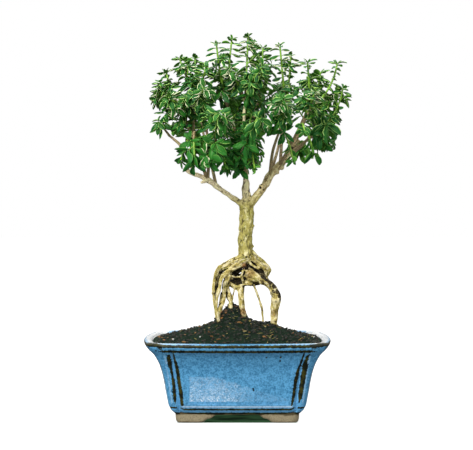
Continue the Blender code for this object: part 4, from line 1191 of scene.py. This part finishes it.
def grain_samples(paths):
    """Where the wood's grain runs: frames, lengths along the path and radii, in a KD tree."""
    samples = []
    for start, path in enumerate(paths):
        points, radii = smooth_path(path)
        along = start * 60.0
        previous = points[0]
        for point, radius, turn in zip(points, radii, frames_along(points)):
            along += (point - previous).length
            previous = point
            samples.append((point, radius, turn.inverted(), along))
    tree = KDTree(len(samples))
    for index, sample in enumerate(samples):
        tree.insert(sample[0], index)
    tree.balance()
    return samples, tree


def marked(place, rows):
    """How strongly a place is marked by the nearest of some rows of x, y, z, reach and strength."""
    amount = 0.0
    for x, y, z, reach, strength in rows:
        away = (place - Vector((x, y, z))).length
        amount = max(amount, strength * soft_ramp(away, (reach * 0.55, reach), (1.0, 0.0)))
    return amount


def damp(place, facing):
    """How dark the bark is at a place: painted shade in hollows, on undersides and on sides turned away from
    the front, and darker near the soil.
    """
    amount = marked(place, SHADE_SPOTS)
    if place.z < 200.0:
        # Painted shade on undersides and on sides turned away from the front.
        amount = max(amount, soft_ramp(-facing.z, (0.25, 0.9), (0.0, 0.7)))
        amount = max(amount, soft_ramp(facing.y, (0.1, 0.8), (0.0, 0.55)))
    ground = soil_height(place.x, place.y)
    return max(amount, soft_ramp(place.z - ground, (1.0, 5.0), (0.9, 0.0)))


# The rays around a vertex that tell how closed in it is by other wood, for the painted shade in hollows, and
# how far they look
RAY_REACH = 13.0
RAYS = tuple(
    Vector((math.cos(turn), math.sin(turn), lift)).normalized()
    for lift, count in ((-0.2, 5), (0.35, 5), (1.2, 3))
    for turn in (math.tau * index / count + lift for index in range(count))
)


def closed_in(shape):
    """For each vertex the share of its rays that meet other wood, evened out over its neighbours: the
    measure for the painted shade in hollows.
    """
    tree = BVHTree.FromBMesh(shape)
    shares = []
    for vert in shape.verts:
        start = vert.co + vert.normal * 0.3
        rays = [(vert.normal * 1.1 + ray).normalized() for ray in RAYS]
        hits = sum(tree.ray_cast(start, ray, RAY_REACH)[0] is not None for ray in rays)
        shares.append(hits / len(rays))
    around = [[edge.other_vert(vert).index for edge in vert.link_edges] for vert in shape.verts]
    for _ in range(3):
        shares = [
            (own + sum(shares[index] for index in near)) / (1 + len(near))
            for own, near in zip(shares, around)
        ]
    return shares


def bark_relief(shape, paths, depth):
    """Push the bark in along cracks that follow the grain, and note them, with painted shade and rust, for
    the material.
    """
    samples, tree = grain_samples(paths)
    layers = [shape.verts.layers.float.new(name) for name in ("crack", "lump", "stain", "rust")]
    shape.normal_update()
    shape.verts.index_update()
    moves = []
    for vert, closed in zip(shape.verts, closed_in(shape)):
        near = min(tree.find_n(vert.co, 4), key=lambda found: found[2] - samples[found[1]][1])
        _, radius, into, along = samples[near[1]]
        local = into @ vert.co
        grain = Vector((local.x, local.y, (local.z + along) * 0.22))
        crack = soft_ramp(abs(noise.noise(grain / 1.9)), (0.0, 0.22), (1.0, 0.0))
        crack *= soft_ramp(noise.noise(grain / 4.5 + Vector((7.0, 3.0, 1.0))), (-0.25, 0.25))
        lump = noise.noise(Vector((local.x, local.y, (local.z + along) * 0.6)) / 3.3)
        fine = noise.noise(grain / 0.8)
        swelling = noise.noise(vert.co / 7.5)
        strength = depth * min(1.3, 0.45 + radius / 8.0)
        moves.append(vert.normal * strength * (lump * 1.1 + swelling * 1.3 + fine * 0.35 - crack * 1.0))
        # The stain mark: painted shade in hollows, on undersides, on sides turned away and where other wood
        # closes a place in, and darker bark near the soil.
        stain = damp(vert.co, vert.normal) * soft_ramp(radius, (1.35, 1.9), (0.15, 1.0))
        stain = max(stain, soft_ramp(closed, (0.22, 0.55)))
        for layer, mark in zip(layers, (crack, lump, stain, marked(vert.co, RUST))):
            vert[layer] = mark
    for vert, move in zip(shape.verts, moves):
        vert.co += move


class BONSAI_OT_wood(bpy.types.Operator):
    """Grow the roots, trunk and limbs together as one barked piece."""

    bl_idname = "bonsai.wood"
    bl_label = "Roots, trunk and limbs"

    def execute(self, context):
        settings = context.scene.bonsai_wood
        paths = [TRUNK, *LIMBS.values(), *ROOTS.values(), *THIN_AND_SHADE_ROOTS]
        shape = bmesh.new()
        for path in paths:
            add_tube(shape, *smooth_path(path), 14)
        for *spot, radius in KNOTS:
            spot = Matrix.Translation(spot)
            bmesh.ops.create_icosphere(shape, subdivisions=3, radius=radius, matrix=spot)
        shape = fused(shape, settings.voxel / MM)
        bark_relief(shape, paths, settings.relief / MM)
        finish_piece("trunk_and_roots", shape, [bark_material(settings)], ["tree"], 180.0)
        return {"FINISHED"}


def bark_material(settings):
    """Tan bark: olive on the trunk, yellow on the roots and pinker on the limbs, with painted highlights on
    its raised parts and painted shade in its low streaks.
    """
    recipe = Recipe("bark")
    x, _, z = recipe.axes()
    on_right = x.levels(-0.002, 0.010)
    above_roots = z.levels(0.165, 0.182)
    calm = z.levels(0.168, 0.182) * z.levels(0.228, 0.245, 1.0, 0.0)
    grain = recipe.noise(420.0, 6.0, 0.65)
    patch = recipe.noise(95.0, 4.0, 0.6)
    dots = recipe.noise(900.0, 2.0)
    dark = (0.030, 0.018, 0.008)
    root = [channel * factor for channel, factor in zip(settings.bark, (1.22, 1.12, 1.22))]
    limb = recipe.mix(on_right, (0.940, 0.800, 0.510), (0.680, 0.540, 0.265))
    middle = recipe.mix(above_roots, root, settings.bark)
    middle = recipe.mix(z.levels(0.224, 0.246), middle, limb)
    olive = patch.levels(0.50, 0.66, 0.0, 0.6) * z.levels(0.232, 0.248, 1.0, 0.25)
    middle = recipe.mix(olive, middle, (0.290, 0.300, 0.050))
    # Pale on the raised parts of the bark: its grain, with a painted highlight on its lumps.
    raised = grain + recipe.attribute("lump") * 0.28
    pale = recipe.mix(above_roots, (0.870, 0.770, 0.440), (0.900, 0.840, 0.460))
    high = raised.levels(calm.levels(0.0, 1.0, 0.46, 0.50), calm.levels(0.0, 1.0, 0.64, 0.86))
    colour = recipe.mix(high, middle, pale)
    # Dark where the bark is low: its streaks, with painted shade between its lumps, strongest on the roots
    # and the right limb, weakest on the trunk.
    streaks = raised + patch * 0.5
    shade = calm.levels(0.0, 1.0, 0.85, 0.50) * on_right.most(z.levels(0.232, 0.248, 1.0, 0.6))
    colour = recipe.mix(streaks.levels(0.52, 0.70, shade, 0.0), colour, (0.120, 0.082, 0.026))
    rust = recipe.mix(grain.levels(0.42, 0.62), (0.090, 0.034, 0.008), (0.420, 0.210, 0.070))
    colour = recipe.mix(recipe.attribute("rust"), colour, rust)
    colour = recipe.mix(recipe.attribute("crack") * 0.9, colour, dark)
    colour = recipe.mix(dots.levels(0.66, 0.74, 0.0, 0.8), colour, dark)
    # The stain mark turns the bark near black: painted shade, and darker bark near the soil.
    ragged = recipe.attribute("stain") + streaks.levels(0.4, 0.9, 0.25, -0.35)
    stained = recipe.mix(grain.levels(0.4, 0.7), (0.009, 0.008, 0.004), (0.070, 0.048, 0.016))
    colour = recipe.mix(ragged.levels(0.25, 0.72), colour, stained)
    return recipe.surface(colour, 0.7, Normal=recipe.bump(grain, 0.5, 0.0009), Specular_IOR_Level=0.2)


class BONSAI_OT_twigs(bpy.types.Operator):
    """Make the woody twigs that carry the sprays."""

    bl_idname = "bonsai.twigs"
    bl_label = "Twigs"

    def execute(self, context):
        shape = bmesh.new()
        for path in TWIGS.values():
            rows = [(*row, ramp(index, (0, len(path) - 1), TWIG_RADII)) for index, row in enumerate(path)]
            add_tube(shape, *smooth_path(rows, 2.5), 9)
        for twig, tip, arching, _ in SPRAYS:
            line = spray_line(twig, tip, arching)
            length = stem_length(line)
            end, heading = fork_point(twig)
            bend = walk(line, (length + line_length(line)) / 2)
            places = (end - heading * SPUR_ROOT, bend, walk(line, length - 1.5))
            rows = [(*place, radius) for place, radius in zip(places, SPUR_RADII)]
            add_tube(shape, *smooth_path(rows, 2.5), 8)
        shape.normal_update()
        for vert in shape.verts:
            vert.co += vert.normal * noise.noise(vert.co / 2.6) * 0.22
        finish_piece("twigs", shape, [twig_material()], [], 60.0)
        return {"FINISHED"}


def twig_material():
    """Brown bark of thin twigs, greener in patches."""
    recipe = Recipe("twig_bark")
    grain = recipe.noise(700.0, 4.0, 0.65)
    colour = recipe.mix(grain.levels(0.35, 0.65), (0.190, 0.130, 0.062), (0.540, 0.410, 0.215))
    colour = recipe.mix(recipe.noise(110.0).levels(0.45, 0.7, 0.0, 0.5), colour, (0.210, 0.230, 0.055))
    return recipe.surface(colour, 0.6, Normal=recipe.bump(grain, 0.3, 0.0004))


# Foliage


def fork_point(name):
    """The end of a twig, and the direction in which it ends."""
    path = LIMBS["centre"] if name == "centre" else TWIGS[name]
    end, before = Vector(path[-1][:3]), Vector(path[-2][:3])
    return end, (end - before).normalized()


def spray_line(twig, tip, arching):
    """The line from a twig's end to a spray's tip: a curve with one control point."""
    start, heading = fork_point(twig)
    end = Vector(tip)
    reach = (end - start).length
    control = start.lerp(end, BEND_AT) + (UP * arching + heading * BEND_ONWARD) * reach
    if arching < 0:
        control += Vector((end.x - start.x, end.y - start.y, 0.0)) * -arching * BEND_OUTWARD
    line = []
    for index in range(LINE_STEPS + 1):
        t = index / LINE_STEPS
        line.append(start * (1 - t) ** 2 + control * 2 * t * (1 - t) + end * t ** 2)
    return line


def line_length(line):
    return sum((after - before).length for before, after in zip(line, line[1:]))


def walk(line, distance):
    """The point at a distance along a line, counted from its end."""
    left = distance
    for after, before in zip(reversed(line), reversed(line[:-1])):
        step = (after - before).length
        if step >= left:
            return after.lerp(before, left / step)
        left -= step
    return line[0].copy()


def stem_length(line):
    return min(SPRAY_STEM, line_length(line) - SPUR_MIN)


def stem_place(stem, share):
    """The point at a share of a stem's length, and the stem's direction there."""
    place = share * (len(stem) - 1)
    index = min(int(place), len(stem) - 2)
    return stem[index].lerp(stem[index + 1], place - index), (stem[index + 1] - stem[index]).normalized()


def pair_directions(base, tangent, twist, spread, age=0.5):
    """The two directions of an opposite leaf pair, and the faces they show."""
    weights = [ramp(age, (0.4, 1.0), ends) for ends in zip(YOUNG_FACE, OLD_FACE)]
    side = tangent.cross(UP)
    if side.length < 0.2:
        side = tangent.cross(Vector((1.0, 0.0, 0.0)))
    side.normalize()
    side = Quaternion(tangent, twist) @ side
    outward = (base - CROWN_MIDDLE).normalized()
    result = []
    for sign in (1, -1):
        direction = tangent * math.cos(spread) + side * sign * math.sin(spread)
        face = tangent * math.sin(spread) - side * sign * math.cos(spread)
        face = face * weights[0] + UP * weights[1] + outward * weights[2]
        result.append((direction.normalized(), face))
    return result


def leaf_matrix(base, direction, normal, length):
    side = direction.cross(normal).normalized()
    normal = side.cross(direction).normalized()
    turn = Matrix((side, direction, normal)).transposed().to_4x4()
    return Matrix.Translation(base) @ turn @ Matrix.Diagonal((length, length, length, 1.0))


# One row per form of leaf: how far it arches down, folds along its midrib, twists and waves
LEAF_FORMS = (
    (0.44, -0.45, 0.1, 0.012), (0.56, 0.3, -0.15, 0.015), (0.7, -0.5, 0.2, 0.01), (0.38, 0.35, 0, 0.012),
    (0.6, -0.4, -0.1, 0.02), (0.5, -0.3, 0.25, 0.015), (0.78, -0.5, 0.05, 0.01), (0.48, -0.4, -0.22, 0.015),
)
YOUNG_FORMS = (1, 2, 4, 6)
OLD_FORMS = (0, 1, 2, 3, 4, 5, 7)
# The marks that leaves carry for their material, and the material slot of green stems
LEAF_MARKS = ("tone", "rim", "age")
GREEN_STEM = 2
# How many of the shoots have leaves with a pale margin all round
RIM_SHARE = 0.5
# How many faces a leaf has across and along, on the sprays and deep inside the crown
LEAF_GRID = (8, 7)
INNER_GRID = (6, 5)
LEAF_ROOT = 0.035
LEAF_THICKNESS = 0.024


def leaf_width(along):
    """The width of a leaf along its length, as a share of its greatest width."""
    tip = max(0.0, 1.0 - max(0.0, (along - 0.52) / 0.48) ** 2.0) ** 0.62
    return tip * soft_ramp(along, (0.0, 0.56), (0.10, 1.0))


def leafy_shape():
    """An empty bmesh with the leaves' UV map and marks."""
    shape = bmesh.new()
    shape.loops.layers.uv.new("blade")
    for name in LEAF_MARKS:
        shape.verts.layers.float.new(name)
    return shape


def leaf_template(form, slenderness, grid):
    """A leaf of length one along +Y, from a flattened sphere whose poles are base and tip."""
    arch, fold, twist, wave = form
    arch *= 1.7
    shape = leafy_shape()
    blade = shape.loops.layers.uv["blade"]
    bmesh.ops.create_uvsphere(shape, u_segments=grid[0], v_segments=grid[1], radius=1.0)
    places = {}
    for vert in shape.verts:
        along = 1.0 - math.acos(max(-1.0, min(1.0, vert.co.z))) / math.pi
        ring = math.hypot(vert.co.x, vert.co.y)
        across, top = (vert.co.x / ring, vert.co.y / ring) if ring > 0.001 else (0.0, 0.0)
        places[vert] = (across, along, top)
    for face in shape.faces:
        face.material_index = 0 if sum(places[vert][2] for vert in face.verts) > 0 else 1
        for loop in face.loops:
            across, along, top = places[loop.vert]
            loop[blade].uv = (0.5 + across / 2, along)
    for vert, (across, along, top) in places.items():
        half = slenderness / 2 * leaf_width(along)
        bend = arch * along
        lift = fold * abs(across) ** 1.5 * half * 1.6
        lift += top * LEAF_THICKNESS / 2 * min(1.0, half * 12.0)
        lift += wave * math.sin(along * 9.0 + across) * abs(across) ** 2
        lift += math.sin(twist) * across * half * along
        spine = math.sin(bend) / arch - LEAF_ROOT * (1.0 - along)
        rise = lift * math.cos(bend) - (1.0 - math.cos(bend)) / arch
        vert.co = Vector((across * half, spine + lift * math.sin(bend), rise))
    bmesh.ops.reverse_faces(shape, faces=shape.faces)
    return as_mesh("leaf", shape)


class Foliage:
    """Puts leaves and side shoots on stems, in one bmesh."""

    def __init__(self, templates, settings, randomness):
        self.shape = leafy_shape()
        self.templates = templates
        self.length = settings.length / MM
        self.randomness = randomness
        self.limb = smooth_path(LIMBS["right"], 4.0)[0]
        self.droop = 0.4
        self.rim = 0.0

    def hides_limb(self, place):
        """Whether a place lies in front of the limb that the crown leaves bare."""
        return any(
            place.y < point.y and math.hypot(place.x - point.x, place.z - point.z) < BARE_REACH
            for point in self.limb
        )

    def leaf(self, base, direction, face, length, age):
        """One leaf; its form follows its age, which runs from 0 at a tip to 1 low down."""
        pick = self.randomness
        direction = (direction - UP * self.droop * age).normalized()
        values = {
            "tone": pick.random(),
            "rim": min(1.0, max(0.0, self.rim + pick.gauss(0.0, 0.08) - age * 0.75)),
            "age": min(1.0, max(0.0, age + pick.gauss(0.0, 0.12))),
        }
        matrix = leaf_matrix(base, direction, face, length)
        form = pick.choice(YOUNG_FORMS if age < 0.4 else OLD_FORMS)
        stamp(self.shape, self.templates[form], matrix, values)

    def pair(self, stem, share, twist, spread, length, age):
        """Two opposite leaves, at a share of the stem's length."""
        base, tangent = stem_place(stem, share)
        for direction, face in pair_directions(base, tangent, twist, spread, age):
            roll = self.randomness.uniform(-LEAF_ROLL, LEAF_ROLL)
            face = Quaternion(direction, roll) @ face
            self.leaf(base, direction, face, length * self.randomness.uniform(0.88, 1.1), age)

    def tuft(self, stem, length, age, twist):
        """The small, close pairs round a growing tip."""
        for index, (share, size, spread) in enumerate(TUFT[:3] if age > 0.2 else TUFT):
            self.pair(stem, share, twist + index * math.pi / 2, math.radians(spread), length * size, age)

    def shoot(self, base, heading, length, leaf, age):
        """A short side shoot that curves up, with its own pairs and a tuft."""
        pick = self.randomness
        end = base + heading * length * 0.8 + UP * length * pick.uniform(0.1, 0.35)
        stem = [
            base.lerp(end, index / 4) + heading * math.sin(math.pi * index / 4) * length * 0.08
            for index in range(5)
        ]
        whole, self.shape = self.shape, leafy_shape()
        add_tube(self.shape, stem, SHOOT_RADII, 5, GREEN_STEM)
        spray_rim, self.rim = self.rim, 1.0 if pick.random() < RIM_SHARE * (1.2 - age) else 0.1
        twist = pick.uniform(0.0, math.pi)
        count = max(1, round(length / 8.0))
        for index in range(count):
            share = (index + 0.7) / (count + 0.5)
            spread = math.radians(pick.uniform(44, 62))
            self.pair(stem, share, twist, spread, leaf * (1.0 - 0.25 * share), age * (1.0 - 0.4 * share))
            twist += math.pi / 2 + pick.uniform(-0.25, 0.25)
        self.tuft(stem, leaf, age * 0.3, twist)
        absorb(whole, self.shape)
        self.shape = whole
        self.rim = spray_rim

    def shoots(self, base, tangent, spread, lengths, chance, leaf, age):
        """Up to two opposite side shoots, where they don't hide the bare limb.

        Their lengths are given as the shortest, the longest and a factor.
        """
        pick = self.randomness
        for direction, _ in pair_directions(base, tangent, pick.uniform(0, math.pi), math.radians(spread)):
            length = pick.uniform(*lengths[:2]) * lengths[2]
            end = base + direction * length
            if pick.random() < chance and not (self.hides_limb(base) or self.hides_limb(end)):
                self.shoot(base, direction, length, leaf, age)


def spray_stem(line):
    length = stem_length(line)
    return [walk(line, length * (1 - index / 8)) for index in range(9)]


def fill_spray(foliage, line, size, primary):
    """All of one spray: its stem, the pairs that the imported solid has, and finer ones between."""
    stem = spray_stem(line)
    low = line[-1].z < OPEN_BELOW
    length = foliage.length * size
    pick = foliage.randomness
    foliage.droop = 0.7 if low else 0.4
    foliage.rim = 1.0 if pick.random() < RIM_SHARE and not low else 0.1
    radii = [ramp(index, (0, 8), STEM_RADII) for index in range(9)]
    add_tube(foliage.shape, stem, radii, 7, GREEN_STEM)
    twist = primary.uniform(0, math.pi)
    first_twist = twist
    for share in LEAF_NODES:
        last = share == LEAF_NODES[-1]
        base, tangent = stem_place(stem, share)
        spread = math.radians(TIP_SPREAD if last else primary.uniform(*LEAF_SPREAD))
        blade = length * primary.uniform(*LEAF_SIZES) * (TIP_SIZE if last else 1.0)
        age = 1.0 if low else ramp(share, (0.3, 0.95), (0.9, 0.1))
        for direction, face in pair_directions(base, tangent, twist, spread, age):
            facing = Quaternion(direction, primary.uniform(-LEAF_ROLL, LEAF_ROLL)) @ face
            if foliage.hides_limb(base + direction * blade * 0.6):
                blade *= SHORTENED
            foliage.leaf(base, direction, facing, blade, age)
        twist += math.pi / 2 + primary.uniform(-PAIR_TURN, PAIR_TURN)
    for share in () if low else BETWEEN_NODES:
        if foliage.hides_limb(stem_place(stem, share)[0]):
            continue
        spread = math.radians(pick.uniform(50, 70))
        age = ramp(share, (0.1, 1.0), (1.0, 0.1))
        foliage.pair(stem, share, first_twist + math.pi / 4 + share * 9.0, spread, length * 0.9, age)
    foliage.tuft(stem, length * (0.6 if low else 1.0), 0.05, twist)
    height_share = ramp(line[-1].z, HIGH_TIPS, (1.0, 0.5))
    for share in SIDE_NODES:
        chance = 0.08 if low else (0.28 if share > 0.5 else 0.50) * height_share
        age = 0.9 if low else ramp(share, (0, 1), (0.9, 0.2))
        lengths = (*SHOOT_LENGTHS, 1.1 - 0.6 * share)
        foliage.shoots(*stem_place(stem, share), SHOOT_SPREAD, lengths, chance, length * 1.04, age)


def spur_path(line, start):
    """The woody part of a spray's line, from the twig's end to where the green stem starts."""
    whole = line_length(line)
    woody = whole - stem_length(line)
    return [start] + [walk(line, whole - woody * share) for share in (0.25, 0.5, 0.75, 1.0)]


def leaf_templates(settings, grid):
    return [leaf_template(form, settings.slenderness, grid) for form in LEAF_FORMS]


class BONSAI_OT_sprays(bpy.types.Operator):
    """Make the leafy sprays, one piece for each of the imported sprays."""

    bl_idname = "bonsai.sprays"
    bl_label = "Leafy sprays"

    def execute(self, context):
        settings = context.scene.bonsai_leaves
        templates = leaf_templates(settings, LEAF_GRID)
        materials = leaf_materials(settings)
        primary = random.Random(SPRAY_SEED)
        for index, (twig, tip, arching, size) in enumerate(SPRAYS):
            foliage = Foliage(templates, settings, random.Random(SPRAY_SEED + 100 + index))
            fill_spray(foliage, spray_line(twig, tip, arching), size, primary)
            name = f"spray_{index + 1:02d}"
            finish_piece("leafy_" + name, foliage.shape, materials, [name], 80.0)
        return {"FINISHED"}


class BONSAI_OT_inner_leaves(bpy.types.Operator):
    """Fill the inside of the crown with short shoots on the twigs."""

    bl_idname = "bonsai.inner_leaves"
    bl_label = "Inner leaves"

    def execute(self, context):
        settings = context.scene.bonsai_leaves
        pick = random.Random(SPRAY_SEED + 7)
        foliage = Foliage(leaf_templates(settings, INNER_GRID), settings, pick)
        lines = [smooth_path([(*row, 1.0) for row in path], 3.0)[0] for path in TWIGS.values()]
        lines += [spur_path(spray_line(*row[:3]), fork_point(row[0])[0]) for row in SPRAYS]
        for line in lines:
            length = line_length(line)
            place = 6.0
            while place < length - 4.0:
                base, tangent = stem_place(line, 1.0 - place / length)
                place += pick.uniform(*INNER_SPACING)
                middle = abs(base.x - MIDDLE_PLACE) < MIDDLE_HALF
                if base.z < (MIDDLE_FROM if middle else INNER_FROM) or foliage.hides_limb(base):
                    continue
                chance = MIDDLE_CHANCE if middle else ramp(base.z, INNER_HEIGHTS, INNER_CHANCES)
                lengths = (*INNER_LENGTHS, 1.0)
                leaf = foliage.length * 1.2
                foliage.shoots(base, tangent, INNER_SPREAD, lengths, chance, leaf, 0.95)
        finish_piece("inner_shoots", foliage.shape, leaf_materials(settings), [], 80.0)
        return {"FINISHED"}


def leaf_materials(settings):
    """The upper side, the underside and the green stem, which the bmesh numbers 0, 1 and 2."""
    if "leaf_top" in bpy.data.materials:
        return [bpy.data.materials[name] for name in ("leaf_top", "leaf_under", "green_stem")]
    return [leaf_side_material(settings, False), leaf_side_material(settings, True), stem_material(settings)]


def leaf_side_material(settings, under):
    """A leaf's side: deeper green with age, lighter low in the crown as painted light from below, with a
    pale margin, painted lime highlights along its edges, a lime midrib and faint veins.
    """
    recipe = Recipe("leaf_under" if under else "leaf_top")
    u, along, _ = recipe.axes(recipe.value("ShaderNodeUVMap", "UV", uv_map="blade"))
    across = abs(u * 2.0 - 1.0)
    height = recipe.axes()[2]
    patch = recipe.noise(260.0, 3.0, 0.6)
    tone, rim, age = (recipe.attribute(name) for name in LEAF_MARKS)
    green = recipe.mix(age.levels(0.0, 0.85), settings.young, settings.old)
    # Lighter green low in the crown: painted light from below.
    green = recipe.mix(height.levels(0.275, 0.345, 0.75, 0.0), green, settings.low_leaf_painted_light)
    light = (tone * 0.6 + patch * 0.4).levels(0.35, 0.8, 0.0, 0.75)
    green = recipe.mix(light, green, scaled(settings.old, 3.2))
    if under:
        green = recipe.mix(0.70, green, (0.110, 0.300, 0.035))
    midrib = across.levels(0.04, 0.13, 0.35, 0.0) * along.levels(0.3, 1.0, 1.0, 0.2)
    green = recipe.mix(midrib, green, (0.230, 0.420, 0.080))
    edge = across + patch.levels(0.3, 0.7, -0.07, 0.07)
    # Lime along the leaf's edges: a painted highlight, weaker low in the crown.
    lime = edge.levels(0.80, 0.90) * height.levels(0.275, 0.315, 0.15, 1.0)
    green = recipe.mix(lime, green, (0.440, 0.720, 0.170))
    margin = edge.levels(0.79, 0.87) * rim.levels(0.2, 0.6)
    colour = recipe.mix(margin, green, settings.margin)
    veins = recipe.math("SINE", along * 44.0 - across * 9.0)
    relief = recipe.bump(veins * 0.15 + across.levels(0.0, 0.3), 0.25, 0.0003)
    return recipe.surface(colour, 0.6 if under else 0.42, Normal=relief, Specular_IOR_Level=0.14)


def stem_material(settings):
    recipe = Recipe("green_stem")
    patch = recipe.noise(160.0)
    colour = recipe.mix(patch.levels(0.3, 0.7), scaled(settings.stem, 0.5), settings.stem)
    return recipe.surface(colour, 0.45, Normal=recipe.bump(patch, 0.2, 0.0003))


# Stage


class BONSAI_OT_stage(bpy.types.Operator):
    """Set out the floor, the lights, the backdrop and the camera."""

    bl_idname = "bonsai.stage"
    bl_label = "Stage"

    def execute(self, context):
        settings = context.scene.bonsai_stage
        shape = bmesh.new()
        bmesh.ops.create_circle(shape, cap_ends=True, segments=64, radius=6.0)
        floor = new_object("floor", as_mesh("floor", shape))
        floor.data.materials.append(floor_material(settings))
        floor.visible_diffuse = False
        floor.visible_glossy = False
        context.scene.world = studio_world(settings)
        for row in LIGHTS:
            add_light(*row)
        add_camera(settings)
        context.scene.view_settings.view_transform = "Standard"
        return {"FINISHED"}


def floor_material(settings):
    """A white floor, glowing evenly, with a painted shadow in dark green streaks in the narrow space below
    the pot.
    """
    recipe = Recipe("floor")
    x, y, _ = recipe.axes()
    beyond_x = abs(x - PLACE.x * MM) - FEET_HALF_X * MM
    beyond_y = abs(y - PLACE.y * MM) - FEET_HALF_Y * MM
    # Below the pot the floor's glow and colour turn to dark green streaks: a painted shadow, tinted green as
    # a painted reflection.
    outside = beyond_x.most(beyond_y).levels(-0.004, 0.001)
    stretched = {0: recipe.place(), 1: (1.0, 5.0, 1.0)}
    stretched = recipe.value("ShaderNodeVectorMath", 0, stretched, operation="MULTIPLY")
    streaks = recipe.noise(26.0, 2.0, vector=stretched)
    green = recipe.mix(streaks.levels(0.40, 0.62), (0.004, 0.010, 0.006), (0.030, 0.075, 0.034))
    glow = recipe.mix(outside, green, (0.95, 0.95, 0.95))
    colour = recipe.mix(outside, (0.040, 0.100, 0.045), settings.floor)
    return recipe.surface(colour, 0.8, Emission_Color=glow, Emission_Strength=1.0, Specular_IOR_Level=0.0)


def studio_world(settings):
    """A white backdrop for the camera, which lights the object more softly than it looks."""
    recipe = Recipe("studio", bpy.data.worlds)
    up = recipe.axes(recipe.value("ShaderNodeTexCoord", "Generated"))[2]
    above = recipe.value("ShaderNodeMapRange", 0, dict(enumerate((up, -0.1, 0.35, 0.05, 1.0))))
    strength = settings.ambient
    for kind, amount in (("Is Glossy Ray", above), ("Is Camera Ray", 1.0)):
        seen = recipe.value("ShaderNodeLightPath", kind)
        strength = recipe.value("ShaderNodeMix", 0, {0: seen, 2: strength, 3: amount})
    backdrop = recipe.tree.nodes["Background"]
    recipe.feed(backdrop.inputs["Color"], (1.0, 1.0, 1.0))
    recipe.feed(backdrop.inputs["Strength"], strength)
    return recipe.owner


# One row per light: name, place in metres, width, height, power in watts
LIGHTS = (
    ("key", (-0.75, -1.25, 1.05), 0.5, 0.5, 24.0),
    ("low", (-0.50, -1.40, 0.10), 0.6, 0.3, 2.8),
    ("fill", (1.10, -1.00, 0.55), 0.7, 1.0, 5.0),
    ("top", (0.0, 0.2, 1.5), 0.9, 0.9, 17.5),
)
AIM = Vector((0.0, 0.0, 0.22))


def add_light(name, place, width, height, power):
    data = bpy.data.lights.new(name, "AREA")
    data.shape = "RECTANGLE"
    data.size = width
    data.size_y = height
    data.energy = power
    item = new_object(name, data)
    item.location = place
    item.rotation_euler = (AIM - Vector(place)).to_track_quat("-Z", "Y").to_euler()


# The camera: its place and what it looks at, in millimetres from the middle of the pot
CAMERA_PLACE = Vector((-0.86, -1500.0, 240.3))
CAMERA_AIM = Vector((-0.86, 0.0, 205.6))


def add_camera(settings):
    data = bpy.data.cameras.new("camera")
    data.lens = settings.lens
    data.sensor_width = 36.0
    item = new_object("camera", data)
    item.location = (CAMERA_PLACE + PLACE) * MM
    item.rotation_euler = (CAMERA_AIM - CAMERA_PLACE).to_track_quat("-Z", "Y").to_euler()
    bpy.context.scene.camera = item


class BONSAI_PT_panel(bpy.types.Panel):
    """Lists the steps that build the bonsai's looks."""

    bl_idname = "BONSAI_PT_panel"
    bl_label = "Serissa bonsai"
    bl_space_type = "VIEW_3D"
    bl_region_type = "UI"
    bl_category = "Bonsai"

    def draw(self, context):
        for name in SETTINGS:
            group = getattr(context.scene, name)
            box = self.layout.box()
            for key in group.bl_rna.properties.keys():
                if key not in ("rna_type", "name"):
                    box.prop(group, key)
        for step in STEPS:
            self.layout.operator(step.bl_idname)


SETTINGS = {
    "bonsai_pot": PotSettings,
    "bonsai_soil": SoilSettings,
    "bonsai_wood": WoodSettings,
    "bonsai_leaves": LeafSettings,
    "bonsai_stage": StageSettings,
}
STEPS = (
    BONSAI_OT_pot,
    BONSAI_OT_soil,
    BONSAI_OT_crumbs,
    BONSAI_OT_wood,
    BONSAI_OT_twigs,
    BONSAI_OT_sprays,
    BONSAI_OT_inner_leaves,
    BONSAI_OT_stage,
)
CLASSES = (*SETTINGS.values(), *STEPS, BONSAI_PT_panel)


def register():
    for item in CLASSES:
        bpy.utils.register_class(item)
    for name, group in SETTINGS.items():
        setattr(bpy.types.Scene, name, PointerProperty(type=group))


def unregister():
    for name in SETTINGS:
        delattr(bpy.types.Scene, name)
    for item in reversed(CLASSES):
        bpy.utils.unregister_class(item)


def main():
    register()
    for step in STEPS:
        group, name = step.bl_idname.split(".")
        getattr(getattr(bpy.ops, group), name)()


if __name__ == "__main__":
    main()
